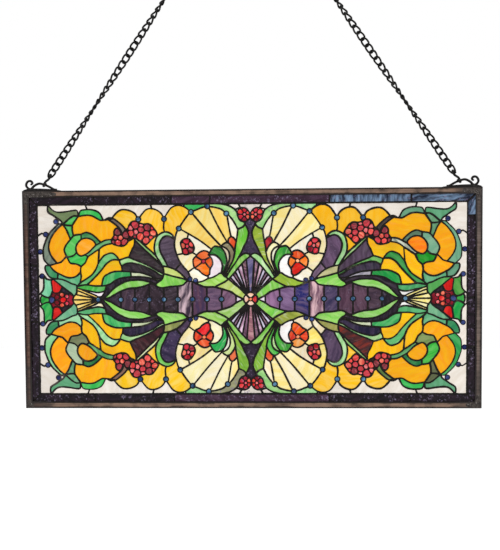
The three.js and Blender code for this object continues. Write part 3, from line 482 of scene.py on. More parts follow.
class Flow:
    """A socket that can be used in an expression."""

    def __init__(self, tree, socket=None):
        self.tree = tree
        self.socket = socket

    def node(self, kind, settings=None, output=0, **sockets):
        """One output of a new node. Its settings come first, then the values and links of its sockets."""
        made = self.tree.nodes.new(kind)
        for key, value in (settings or {}).items():
            setattr(made, key, value)
        for key, value in sockets.items():
            connect(self.tree, made.inputs[int(key[1:]) if key[1:].isdigit() else key.replace("_", " ")], value)
        return Flow(self.tree, made.outputs[output])

    def maths(self, operation, other=0.0):
        return self.node("ShaderNodeMath", {"operation": operation}, i0=self, i1=other)

    def __add__(self, other):
        return self.maths("ADD", other)

    def __sub__(self, other):
        return self.maths("SUBTRACT", other)

    def __mul__(self, other):
        return self.maths("MULTIPLY", other)

    def __rsub__(self, other):
        return self.node("ShaderNodeMath", {"operation": "SUBTRACT"}, i0=other, i1=self)

    __radd__ = __add__
    __rmul__ = __mul__

    def size(self):
        return self.maths("ABSOLUTE")

    def ramp(self, low, high):
        """0 below low, 1 above high, smooth between."""
        return self.node("ShaderNodeMapRange", {"interpolation_type": "SMOOTHSTEP", "clamp": True}, i0=self,
                         i1=low, i2=high, i3=0.0, i4=1.0)

    def mix(self, first, second):
        """Colours blended by this factor."""
        first, second = (c if isinstance(c, Flow) else (*c[:3], 1) for c in (first, second))
        return self.node("ShaderNodeMix", {"data_type": "RGBA"}, 2, i0=self, i6=first, i7=second)

    def scaled(self, factor):
        """A colour or vector times a number."""
        return self.node("ShaderNodeVectorMath", {"operation": "SCALE"}, i0=self, i3=factor)

    def noise(self, scale, detail=2.0, rough=0.5):
        return self.node("ShaderNodeTexNoise", Vector=self, Scale=scale, Detail=detail, Roughness=rough)

    def joined(self, x, y, z):
        return self.node("ShaderNodeCombineXYZ", i0=x, i1=y, i2=z)

    def split(self):
        """The three parts of a vector."""
        apart = self.node("ShaderNodeSeparateXYZ", i0=self).socket.node
        return [Flow(self.tree, output) for output in apart.outputs]

    def bump(self, height, strength, distance):
        return self.node("ShaderNodeBump", Strength=strength, Distance=distance, Height=height)


def connect(tree, socket, value):
    """Links a flow to a socket, or writes a value in it."""
    if isinstance(value, Flow):
        tree.links.new(value.socket, socket)
    else:
        socket.default_value = value


def start_material(name, kind="ShaderNodeTexCoord", output="Object"):
    """A new material, the place of its points in metres, and its main shader."""
    material = bpy.data.materials.new(name)
    material.use_nodes = True
    tree = material.node_tree
    return material, Flow(tree).node(kind, None, output), tree.nodes["Principled BSDF"]


def feed(place, shader, **sockets):
    for key, value in sockets.items():
        connect(place.tree, shader.inputs[key.replace("_", " ")], value)


def frame_inset(x, z):
    """How far a point lies inside the outline of the frame, from its distances to the two axes."""
    return (HALF_WIDTH - x).maths("MINIMUM", HALF_HEIGHT - z)


# How each family of glass is rolled: streak contrast, ripple depth, roughness, milky streaks, light flecks
ROLLED = {
    "cream_glass": (0.75, 0.25, 0.24, 0.0, 0.0),
    "pale_yellow_glass": (0.9, 0.3, 0.2, 0.0, 0.0),
    "amber_glass": (0.8, 0.25, 0.16, 0.0, 0.0),
    "orange_glass": (0.8, 0.2, 0.16, 0.05, 0.0),
    "red_glass": (1.0, 0.45, 0.18, 0.25, 0.1),
    "green_glass": (1.0, 0.35, 0.18, 0.35, 0.0),
    "dark_green_glass": (1.0, 0.4, 0.16, 0.03, 0.1),
    "violet_glass": (1.0, 0.5, 0.16, 0.0, 0.35),
    "pink_glass": (1.0, 0.35, 0.18, 0.3, 0.1),
    "plum_glass": (0.8, 0.3, 0.12, 0.0, 0.75),
    "crimson_glass": (1.0, 0.15, 0.08, 0.12, 0.0),
}
WARM = ("crimson_glass", "red_glass", "orange_glass", "pink_glass", "amber_glass")
EVEN = ("amber_glass", "cream_glass", "pale_yellow_glass", "orange_glass")
# Share of the light that comes off the face of the glass; the full colour also feeds the painted glow, emission
# that stands in for light from behind
FACE_SHARE = 0.64
MILK = (0.72, 0.78, 0.62)
ROSE_MILK = (0.86, 0.5, 0.46)
FLECK = (0.24, 0.19, 0.3)
# Streaks and clouds in cycles a metre, along and across the way that the glass was rolled
STREAK = (26, 140)
CLOUD = (30, 42)
NUGGET_FINER = 2.6
WARP = 0.012
RIPPLE_HEIGHT = 0.0007
# How the depth of colour changes in violet, yellow, other warm and green glass, and what comes off for glare
VIOLET_GAIN, YELLOW_GAIN, WARM_GAIN, GREEN_GAIN = 0.9, 1.0, 1.2, 1.04
GLARE = 0.006
BRIGHTEST = 0.95
LUMINANCE = (0.2126, 0.7152, 0.0722)


def deepened(colour):
    """The colour as seen without the light that the face of the glass throws back."""
    grey = sum(share * part for share, part in zip(LUMINANCE, colour))
    red, green, blue = colour
    if blue > green and blue > red * 0.4:
        gain = VIOLET_GAIN
    elif red > green:
        gain = YELLOW_GAIN if green > red * 0.62 else WARM_GAIN
    else:
        gain = GREEN_GAIN
    return tuple(min(max(grey + (part - grey) * gain - GLARE, 0.0), BRIGHTEST) for part in colour)


def glass_material(family):
    """Streaky rolled glass. Its tone, vein and grain come with each piece."""
    contrast, ripple, rough, milk, flecked = ROLLED[family]
    nugget = family == "crimson_glass"
    material, place, shader = start_material(family)
    tone, vein = (place.node("ShaderNodeAttribute", {"attribute_name": name}) for name in ("tone", "vein"))
    run_x, run_z, seed = place.node("ShaderNodeAttribute", {"attribute_name": "grain"}, "Vector").split()
    x, _, z = place.split()
    along = x * run_x + z * run_z
    across = z * run_x - x * run_z + place.noise(38, 2.0) * WARP
    fine = NUGGET_FINER if nugget else 1.0
    streak_place = place.joined(along * (STREAK[0] * fine), across * (STREAK[1] * fine), seed)
    streaks = streak_place.noise(1.0, 3.0, 0.55).ramp(0.36, 0.68)
    clouds = place.joined(along * CLOUD[0], across * CLOUD[1], seed + 7.3).noise(1.0, 2.0)
    body = (streaks * contrast).mix(tone, vein)
    if milk:
        band = streak_place.noise(1.7, 2.0, 0.5).ramp(0.54, 0.7)
        body = (band * milk).mix(body, ROSE_MILK if family in WARM else MILK)
    if flecked:
        spots = place.noise(240, 3.0, 0.7).ramp(0.54, 0.68) * place.noise(34, 2.0).ramp(0.34, 0.56)
        body = (spots * flecked).mix(body, FLECK)
    cloudy = 0.24 if family in EVEN else 0.6
    shaded = body.scaled(clouds * cloudy + (1.02 - cloudy / 2))
    height = streaks * 0.5 + place.noise(150, 3.0, 0.6)
    # The emission is a painted glow in the glass's own colour, standing in for light from behind the panel
    feed(place, shader, Base_Color=shaded.scaled(FACE_SHARE), Emission_Color=shaded, Roughness=rough,
         Coat_Roughness=0.06, Normal=place.bump(height, ripple, RIPPLE_HEIGHT), Emission_Strength=colours().painted_glow,
         Specular_IOR_Level=0.4 if nugget else 0.16, Coat_Weight=0.2 if nugget else 0.03)
    return material


# Metals. Depths and insets in metres, and the tones of worn and shaded places; the channel's lips take painted
# shade and the middle of its face a painted highlight
METAL_SHEEN = 0.2
SILVER = srgb(104, 96, 90)
FOIL_DEPTH = (0.0016, 0.0024)
FACE_START = (0.0105, 0.0122)
CORNER_GREY = (srgb(36, 31, 29), srgb(74, 67, 63))
SPECK = srgb(186, 182, 176)
# Insets of the painted shade along the outer and inner lips of the channel
OUTER_LIP_PAINTED_SHADE = (0.0024, 0.0042)
INNER_LIP_PAINTED_SHADE = (0.009, 0.0106)
# Middle of the channel's face, along which a painted highlight runs
MID_FACE = 0.0066
RIGHT_GREY = srgb(92, 87, 86)
LEFT_BROWN = srgb(72, 42, 33)
# Colour of the painted highlight along the middle of the channel's face
PAINTED_FACE_HIGHLIGHT = srgb(150, 126, 110)
CORNER_SHADE = srgb(50, 45, 44)
CORNER_SLOPE = 0.6
BRUSHED = (18, 300, 420)


def solder_material():
    """Tinned and blackened solder with brown where the copper foil shows at its edge."""
    paint = colours()
    material, place, shader = start_material("lead")
    wear = place.noise(210, 4.0, 0.6)
    broad = place.noise(24, 2.0)
    edge = (1 - place.split()[1].size().ramp(*FOIL_DEPTH)) * wear.ramp(0.42, 0.6)
    silver = (broad + wear * 0.5).ramp(0.86, 1.0) * 0.4
    tone = silver.mix(edge.mix(paint.solder, paint.solder_edge), SILVER)
    x, _, z = place.node("ShaderNodeNewGeometry", None, "Position").split()
    inset = frame_inset(x.size(), (z - PANEL_Z).size())
    on_frame = (1 - inset.ramp(*FACE_START)) * (inset + wear * 0.001).ramp(0.0012, 0.003)
    specks = place.noise(420, 3.0, 0.6).ramp(0.56, 0.68) * inset.ramp(0.003, 0.0105)
    grey = (specks * 0.75).mix(wear.ramp(0.35, 0.65).mix(*CORNER_GREY), SPECK)
    feed(place, shader, Base_Color=on_frame.mix(tone, grey), Metallic=0.05, Specular_IOR_Level=0.18,
         Roughness=wear * 0.3 + 0.35, Normal=place.bump(wear + broad, 0.35, 0.0006))
    return material


def channel_material():
    """Brown patinated channel, darker along its edges with painted shade, with a painted highlight along the middle
    of its face and grey solder toward the corners.
    """
    paint = colours()
    material, place, shader = start_material("brown_channel", "ShaderNodeNewGeometry", "Position")
    side, _, level = place.split()
    x, z = side.size(), (level - PANEL_Z).size()
    inset = frame_inset(x, z)
    mottle = place.noise(46, 4.0, 0.6)
    fine = place.noise(320, 3.0, 0.6)
    uneven = inset + fine * 0.0012
    # Painted shade along the outer and inner lips of the channel
    painted_edge_shade = 1 - uneven.ramp(*OUTER_LIP_PAINTED_SHADE) + uneven.ramp(*INNER_LIP_PAINTED_SHADE)
    brushed = place.node("ShaderNodeMapping", Vector=place, Scale=BRUSHED)
    streak = brushed.noise(1.0, 3.0, 0.6).ramp(0.4, 0.62)
    # A painted highlight along the middle of the channel's face
    light = (1 - (inset - MID_FACE).size().ramp(0.0002, 0.0026)) * 0.5
    greyer = side.ramp(HALF_WIDTH - 0.014, HALF_WIDTH - 0.011) * 0.7
    redder = ((1 - side.ramp(0.012 - HALF_WIDTH, 0.05 - HALF_WIDTH)) * 0.95).maths("MINIMUM", 0.9)
    band = redder.mix(greyer.mix(paint.channel, RIGHT_GREY), LEFT_BROWN)
    band = (light * mottle.ramp(0.3, 0.6)).mix(band, PAINTED_FACE_HIGHLIGHT)
    # The dark tone is painted shade at the lips and patina in the mottle and brushed streaks
    shade = (painted_edge_shade * 0.95 + mottle.ramp(0.42, 0.66) * 0.45 + streak * 0.35).maths("MINIMUM", 0.97)
    reach = HALF_WIDTH + HALF_HEIGHT * CORNER_SLOPE
    corner = (x + z * CORNER_SLOPE + mottle * 0.03).ramp(reach - 0.05, reach - 0.02)
    feed(place, shader, Base_Color=(corner * 0.6).mix(shade.mix(band, paint.channel_patina_and_painted_shade), CORNER_SHADE),
         Metallic=0.1, Specular_IOR_Level=METAL_SHEEN, Roughness=fine * 0.3 + 0.4,
         Normal=place.bump(mottle + fine * 0.5, 0.3, 0.0005))
    return material


def iron_material(name, tone, light):
    """Blackened wire with rubbed lights."""
    material, place, shader = start_material(name)
    rub = place.noise(170, 4.0, 0.65)
    mask = (rub * 0.7 + place.noise(60, 2.0) * 0.5).ramp(0.66, 0.9) * 0.45
    feed(place, shader, Base_Color=mask.mix(tone, light), Metallic=0.1, Specular_IOR_Level=METAL_SHEEN,
         Roughness=rub * 0.25 + 0.4, Normal=place.bump(rub, 0.25, 0.0003))
    return material


MATERIALS = {}
MAKERS = {
    "lead": solder_material,
    "brown_channel": channel_material,
    "dark_wire": lambda: iron_material("dark_wire", colours().wire, srgb(150, 146, 142)),
    "black_chain": lambda: iron_material("black_chain", colours().chain, srgb(92, 84, 76)),
}


def material_for(slot):
    """The shared material of one of the record's slots."""
    if slot not in MATERIALS:
        MATERIALS[slot] = glass_material(slot) if slot in ROLLED else MAKERS[slot]()
    return MATERIALS[slot]


# Mesh helpers

class Shape:
    """Vertices and faces of one mesh, with the colour of each part."""

    def __init__(self):
        self.points = []
        self.faces = []
        self.values = []

    def add(self, points, faces, value=None):
        base = len(self.points)
        self.points.extend(points)
        self.faces.extend([base + i for i in face] for face in faces)
        self.values.extend([value] * len(points))

    def make(self, name, slot, smooth=True):
        mesh = bpy.data.meshes.new(name)
        mesh.from_pydata([tuple(p) for p in self.points], [], self.faces)
        mesh.validate()
        mesh.update()
        if smooth:
            mesh.shade_smooth()
        if any(v is not None for v in self.values):
            for key, place in (("tone", 0), ("vein", 1)):
                layer = mesh.attributes.new(key, "FLOAT_COLOR", "POINT")
                layer.data.foreach_set("color", [c for v in self.values for c in (*v[place], 1.0)])
            layer = mesh.attributes.new("grain", "FLOAT_VECTOR", "POINT")
            layer.data.foreach_set("vector", [c for v in self.values for c in v[2]])
        mesh.materials.append(material_for(slot))
        piece = bpy.data.objects.new(name, mesh)
        bpy.context.scene.collection.objects.link(piece)
        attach(piece, "root")
        return piece


def smoothed(points, step, closed=False):
    """Points on a smooth curve through the given ones, about step apart."""
    if len(points) == 2:
        count = max(1, round(math.dist(points[0], points[1]) / step))
        return [tuple(a + (b - a) * i / count for a, b in zip(points[0], points[1])) for i in range(count + 1)]
    ring = points[:-1] if closed else points
    total = len(ring)
    out = []
    spans = total if closed else total - 1
    for i in range(spans):
        if closed:
            p = [ring[(i + k) % total] for k in (-1, 0, 1, 2)]
        else:
            p = [ring[max(0, min(total - 1, i + k))] for k in (-1, 0, 1, 2)]
        count = max(1, round(math.dist(p[1], p[2]) / step))
        for j in range(count):
            t = j / count
            out.append(tuple(
                0.5 * (2 * b + (c - a) * t + (2 * a - 5 * b + 4 * c - d) * t * t + (3 * b - a - 3 * c + d) * t ** 3)
                for a, b, c, d in zip(*p)))
    out.append(ring[0] if closed else ring[-1])
    return out


def tube_faces(count, sides, closed):
    """The faces between the rings of a tube, and its ends where it is open."""
    faces = []
    for i in range(count if closed else count - 1):
        for k in range(sides):
            a, b = i * sides + k, i * sides + (k + 1) % sides
            c, d = ((i + 1) % count) * sides + k, ((i + 1) % count) * sides + (k + 1) % sides
            faces.append([a, c, d, b])
    if not closed:
        faces.append(list(range(sides)))
        faces.append([(count - 1) * sides + k for k in reversed(range(sides))])
    return faces


ROUND_SECTION = tuple((math.cos(math.tau * (k + 0.5) / 8), math.sin(math.tau * (k + 0.5) / 8)) for k in range(8))
BEAD_SECTION = ((1, 0.66), (0.5, 1), (-0.5, 1), (-1, 0.66), (-1, -0.66), (-0.5, -1), (0.5, -1), (1, -0.66))


def swept(path, section, closed=False, depth_axis=None, outline=ROUND_SECTION):
    """A tube: section(i, share) gives the half sizes (side, depth) at a point of the path."""
    path = [Vector(p) for p in path]
    count = len(path)
    sides = len(outline)
    points = []
    side = None
    for i, p in enumerate(path):
        if closed:
            along = path[(i + 1) % count] - path[i - 1]
        else:
            along = path[min(i + 1, count - 1)] - path[max(i - 1, 0)]
        along.normalize()
        if depth_axis is not None:
            deep = depth_axis
            side = along.cross(deep).normalized()
        else:
            if side is None:
                side = along.orthogonal().normalized()
            side = (side - along * side.dot(along)).normalized()
            deep = side.cross(along)
        half, thick = section(i, i / max(1, count - 1))
        for u, v in outline:
            points.append(p + side * (u * half) + deep * (v * thick))
    return points, tube_faces(count, sides, closed)


def real(x, z, y=0.0):
    """A drawn point in metres. Beyond the field the drawing isn't stretched."""
    if abs(z) <= FIELD[1]:
        height = z * FIELD_SCALE_Z
    else:
        height = z - math.copysign(FIELD[1] * (1 - FIELD_SCALE_Z), z) * (BORDER_OUT[1] - abs(z)) / (
            BORDER_OUT[1] - FIELD[1])
    return Vector((x * MM, y, PANEL_Z + height * MM))


def mirrored_copies(points):
    """The line in every quarter, once each where it lies on an axis."""
    on_level = all(abs(z) < 0.01 for _, z in points)
    on_upright = all(abs(x) < 0.01 for x, _ in points)
    for _, sx, sz in QUARTERS:
        if (on_level and sz < 0) or (on_upright and sx < 0):
            continue
        yield [(x * sx, z * sz) for x, z in points]


def nearest_on(point, line):
    """The nearest point of a polyline and its distance."""
    best = (1e9, None)
    px, pz = point
    for (ax, az), (bx, bz) in zip(line, line[1:]):
        dx, dz = bx - ax, bz - az
        length = dx * dx + dz * dz
        t = 0 if length == 0 else max(0, min(1, ((px - ax) * dx + (pz - az) * dz) / length))
        q = (ax + t * dx, az + t * dz)
        gap = math.dist(point, q)
        if gap < best[0]:
            best = (gap, q)
    return best


# How far a line's end may run on to meet another, the step of a smooth line, and where the dark jewels start
SNAP = 3.6
STEP = 3.2
OUTER_JEWELS = 300
BUD_BED = ((10, 138), (5, 140), (1, 145), (0.6, 150), (3, 157), (8, 162), (15, 163), (21, 160), (24, 155),
           (21, 146), (17, 140), (10, 138))
# Gap between packed nuggets, reach of a ring for a line's end, overshoot of a met line, and the largest sliver
CELL_GAP = 1.0
NEAR_RING = 2.6
OVERSHOOT = 0.25
SLIVER = 27
GROW_STEP = 0.3
# Joints of the border: x with the level side, z with the upright side
LEVEL_JOINTS = ((140, 1), (283, 1), (-72, 1), (-141, 1), (-280, 1), (138, -1), (281, -1), (-139, -1), (-282, -1))
UPRIGHT_JOINTS = ((146, 1), (1, 1), (-86, 1), (62, -1), (-40, -1))
# The border's plum part around the middle, and where its bright piece lies, whose blue-white streaks are a painted
# reflection
PLUM_REACH = 140
PAINTED_REFLECTION_START = (130, 150)


def sides_of(face):
    """The sides of a face in order, each as its two ends and its key without a direction."""
    return [(a, b, (min(a, b), max(a, b))) for a, b in zip(face, [*face[1:], face[0]])]


def disc_points(x, z, radius, rng, uneven, count=14):
    """An uneven round outline."""
    phase = rng.uniform(0, math.tau)
    shift = rng.uniform(0, math.tau)
    points = []
    for i in range(count):
        turn = math.tau * i / count
        reach = radius * (1 + uneven * (math.sin(2 * turn + phase) + 0.6 * math.sin(3 * turn + shift)))
        points.append((x + reach * math.cos(turn), z + reach * math.sin(turn)))
    return points


def inside(point, ring):
    """Whether a closed polyline holds a point."""
    x, z = point
    crossing = False
    for (ax, az), (bx, bz) in zip(ring, ring[1:]):
        if (az > z) != (bz > z) and x < ax + (z - az) / (bz - az) * (bx - ax):
            crossing = not crossing
    return crossing


def packed_cell(own, nuggets, bed, count=14):
    """The outline of a nugget that fills its place between its neighbours and the edge of its bed."""
    x, z, radius, _ = own
    reaches = []
    for k in range(count):
        turn = math.tau * k / count
        reach = radius * 0.5
        while reach < radius * 1.5:
            further = reach + GROW_STEP
            at = (x + further * math.cos(turn), z + further * math.sin(turn))
            slack = math.dist(at, (x, z)) - radius
            crowded = any(math.dist(at, other[:2]) - other[2] < slack + CELL_GAP for other in nuggets
                          if other is not own)
            if crowded or not inside(at, bed) or nearest_on(at, bed)[0] < CELL_GAP * 0.7:
                break
            reach = further
        reaches.append(reach)
    soft = [(reaches[k - 1] + 2 * reaches[k] + reaches[(k + 1) % count]) / 4 for k in range(count)]
    return [(x + soft[k] * math.cos(math.tau * k / count), z + soft[k] * math.sin(math.tau * k / count))
            for k in range(count)]


class Drawing:
    """All lead lines of the panel, and the glass pieces between them."""

    def __init__(self):
        rng = random.Random(7)
        self.rounds = []
        self.paths = []
        edge_x, edge_z = FIELD
        frame_lines = {
            "field_side": [(edge_x, 0), (edge_x, edge_z)],
            "field_top": [(0, edge_z), (edge_x, edge_z)],
        }
        dense = {}
        for name, points in {**LINES, **frame_lines}.items():
            closed = points[0] == points[-1]
            dense[name] = smoothed(points, STEP, closed)
        for name, points in dense.items():
            if name in frame_lines or points[0] == points[-1]:
                continue
            for end in (0, -1):
                self.snap(name, end, dense)
        self.beds = {name: smoothed([*LINES.get(name, BUD_BED)], STEP, True) for name in PACKED}
        radius = sizes().jewel_radius / MM
        rounds = [(x, z, radius, "jewel" if x < OUTER_JEWELS else "dusk", 0.0) for x, z in JEWELS]
        rounds += [(x, z, r, glass, 0.05) for x, z, r, glass in NUGGETS]
        for x, z, radius, glass, uneven in rounds:
            for place, sx, sz in QUARTERS:
                if (z == 0 and sz < 0) or (x == 0 and sx < 0):
                    continue
                at = (x * sx, z * sz)
                self.rounds.append((at, radius, glass, place, disc_points(*at, radius, rng, uneven)))
        for name, nuggets in PACKED.items():
            for own in nuggets:
                cell = packed_cell(own, nuggets, self.beds[name])
                for place, sx, sz in QUARTERS:
                    ring = [(x * sx, z * sz) for x, z in cell]
                    self.rounds.append(((own[0] * sx, own[1] * sz), own[2], own[3], place, ring))
        for points in dense.values():
            self.paths.extend(mirrored_copies(points))
        self.border_paths = list(mirrored_copies([FIELD, BORDER_OUT]))
        for x, sz in LEVEL_JOINTS:
            self.border_paths.append([(x, edge_z * sz), (x + 1.5, BORDER_OUT[1] * sz)])
        for z, sx in UPRIGHT_JOINTS:
            self.border_paths.append([(edge_x * sx, z), (BORDER_OUT[0] * sx, z + 1)])
        self.outer = [(BORDER_OUT[0] * sx, BORDER_OUT[1] * sz) for sx, sz in ((-1, -1), (1, -1), (1, 1), (-1, 1))]
        self.cut_pieces()

    def snap(self, name, end, dense):
        """Runs the end of a line on to the line, jewel or nugget that it should meet."""
        point = dense[name][end]
        if abs(point[0]) < 0.01 or abs(point[1]) < 0.01:
            return
        best = (1e9, None)
        for other, line in dense.items():
            if other != name:
                best = min(best, nearest_on(point, line), key=lambda pair: pair[0])
        rings = [(x, z, sizes().jewel_radius / MM) for x, z in JEWELS] + [n[:3] for n in NUGGETS]
        for x, z, radius in rings:
            gap = math.dist(point, (x, z))
            if gap < radius * 0.9:
                return
            if gap < radius + NEAR_RING and gap - radius < best[0]:
                share = radius * 0.88 / gap
                inner = (x + (point[0] - x) * share, z + (point[1] - z) * share)
                dense[name].insert(0 if end == 0 else len(dense[name]), inner)
                return
        if 0.001 < best[0] < SNAP:
            share = 1 + OVERSHOOT / best[0]
            beyond = tuple(a + (b - a) * share for a, b in zip(point, best[1]))
            dense[name].insert(0 if end == 0 else len(dense[name]), beyond)

    def cut_pieces(self):
        coords, edges = [], []

        def line(points, closed=False):
            base = len(coords)
            coords.extend(Vector(p) for p in points)
            edges.extend((base + i, base + i + 1) for i in range(len(points) - 1))
            if closed:
                edges.append((base + len(points) - 1, base))

        for path in self.paths + self.border_paths:
            line(path)
        for _, _, _, _, ring in self.rounds:
            line(ring, True)
        line(self.outer, True)
        verts, out_edges, faces, _, orig_edges, _ = delaunay_2d_cdt(coords, edges, [], 0, 0.02)
        self.verts = verts
        walls = {tuple(sorted(edge)) for edge, orig in zip(out_edges, orig_edges) if orig}
        beside = {}
        for index, face in enumerate(faces):
            for _, _, key in sides_of(face):
                beside.setdefault(key, []).append(index)
        owner = [-1] * len(faces)
        self.pieces = []
        for index in range(len(faces)):
            if owner[index] >= 0:
                continue
            group, stack = [], [index]
            owner[index] = len(self.pieces)
            while stack:
                now = stack.pop()
                group.append(now)
                for _, _, key in sides_of(faces[now]):
                    if key in walls:
                        continue
                    for other in beside[key]:
                        if owner[other] < 0:
                            owner[other] = owner[now]
                            stack.append(other)
            self.pieces.append(group)
        self.faces = faces
        self.owner = owner

    def in_bed(self, x, z):
        return any(inside((abs(x), abs(z)), bed) for bed in self.beds.values())

    def area(self, group):
        total = 0
        for index in group:
            a, b, c = (self.verts[i] for i in self.faces[index])
            total += abs((b - a).cross(c - a)) / 2
        return total

    def piece_at(self, x, z):
        """The piece that holds a point, or None."""
        p = Vector((x, z))
        for index, face in enumerate(self.faces):
            a, b, c = (self.verts[i] for i in face)
            across, up = (a.x, b.x, c.x), (a.y, b.y, c.y)
            if not (min(across) <= x <= max(across) and min(up) <= z <= max(up)):
                continue
            signs = [(q - r).cross(p - r) for r, q in ((a, b), (b, c), (c, a))]
            if all(s >= 0 for s in signs) or all(s <= 0 for s in signs):
                return self.owner[index]
        return None


# How much lighter or darker one piece of a glass may be than another
SHEET_SHADE = 0.06
NUGGET_SHADE = 0.12


def glass_value(glass, place, rng, shade=SHEET_SHADE):
    """Tone, vein and grain of one piece of glass."""
    tone, vein = ALTERED[place].get(glass, GLASS[glass])
    lift = 1 + rng.uniform(-shade, shade)
    turn = rng.uniform(0, math.pi)
    return (tuple(c * lift for c in deepened(srgb(*tone))), tuple(c * lift for c in deepened(srgb(*vein))),
            (math.cos(turn), math.sin(turn), rng.uniform(0, 40)))


def quarter_of(x, z):
    return ("upper" if z > 0 else "lower") + ("_right" if x > 0 else "_left")


# How far a sheet stays back from its line, in millimetres, and the most that it leans
DRAWN_IN = 0.45
LEAN = 2e-6
# A nugget's profile: share of its outline and of its height
DOME = ((1.0, 0.0), (0.97, 0.34), (0.86, 0.62), (0.66, 0.84), (0.36, 0.97))


def plate_shape(drawing, group, thickness, lean):
    """A closed sheet of glass from a group of triangles, drawn in a little from its outline."""
    count = {}
    for index in group:
        for _, _, key in sides_of(drawing.faces[index]):
            count[key] = count.get(key, 0) + 1
    used = sorted({i for index in group for i in drawing.faces[index]})
    order = {v: k for k, v in enumerate(used)}
    shift = {v: Vector((0.0, 0.0)) for v in used}
    rim = []
    for index in group:
        face = drawing.faces[index]
        a, b, c = (drawing.verts[i] for i in face)
        turned = (b - a).cross(c - a) > 0
        for m, n, key in sides_of(face):
            if count[key] == 1:
                along = drawing.verts[n] - drawing.verts[m]
                along.normalize()
                inward = Vector((-along.y, along.x)) * (1 if turned else -1)
                shift[m] += inward
                shift[n] += inward
                rim.append((m, n) if turned else (n, m))
    half = thickness / 2
    points = []
    for side in (-1, 1):
        for v in used:
            push = shift[v]
            if push.length > 0.1:
                push = push.normalized() * DRAWN_IN
            at = drawing.verts[v] + push
            tilt = lean[0] * at.x + lean[1] * at.y + lean[2]
            points.append(real(at.x, at.y, side * half + tilt))
    faces = []
    back = len(used)
    for index in group:
        face = [order[i] for i in drawing.faces[index]]
        a, b, c = (drawing.verts[i] for i in drawing.faces[index])
        if (b - a).cross(c - a) < 0:
            face.reverse()
        faces.append(face)
        faces.append([back + i for i in reversed(face)])
    for m, n in rim:
        faces.append([order[n], order[m], back + order[m], back + order[n]])
    return points, faces


def dome_shape(ring, centre, half):
    """A nugget: its outline swells to the front and the back."""
    count = len(ring)
    points, faces = [], []
    for side in (-1, 1):
        for share, rise in DOME:
            for x, z in ring:
                points.append(real(centre[0] + (x - centre[0]) * share, centre[1] + (z - centre[1]) * share,
                                   side * half * rise))
        points.append(real(*centre, side * half))
    block = len(DOME) * count + 1
    for level in (0, 1):
        base = level * block
        for s in range(len(DOME) - 1):
            for k in range(count):
                a, b = base + s * count + k, base + s * count + (k + 1) % count
                quad = [a, b, b + count, a + count]
                faces.append(quad if level == 0 else quad[::-1])
        top = base + block - 1
        last = base + (len(DOME) - 1) * count
        for k in range(count):
            face = [last + k, last + (k + 1) % count, top]
            faces.append(face if level == 0 else face[::-1])
    weld = {block + k: k for k in range(count)}
    faces = [[weld.get(i, i) for i in face] for face in faces]
    keep = [i for i in range(len(points)) if i not in weld]
    order = {v: k for k, v in enumerate(keep)}
    return [points[i] for i in keep], [[order[i] for i in face] for face in faces]


class ZoneFinder:
    """Finds the solid whose front holds a point of the panel."""

    def __init__(self):
        self.zones = {}
        for name, node in frame["nodes"].items():
            if not name.startswith("glass_"):
                continue
            mesh = node.data
            front = [[mesh.vertices[i].co for i in (*face.vertices, face.vertices[0])]
                     for face in mesh.polygons if face.normal.y < -0.9]
            self.zones[name] = [[(p.x, p.z) for p in face] for face in front]

    def find(self, point):
        x, z = point.x, point.z
        best = (1e9, None)
        for name, faces in self.zones.items():
            for face in faces:
                if inside((x, z), face):
                    return name
                for (ax, az), (bx, bz) in zip(face, face[1:]):
                    gap = math.hypot((ax + bx) / 2 - x, (az + bz) / 2 - z)
                    gap = min(gap, math.hypot(ax - x, az - z))
                    if gap < best[0]:
                        best = (gap, name)
        return best[1]


SLOT_OF_NODE = {part["node"]: part["material_slot"] for part in frame["record"]["subparts"]}
LEAD_SHAPE = Shape()
DRAWING = []


def the_drawing():
    if not DRAWING:
        DRAWING.append(Drawing())
    return DRAWING[0]


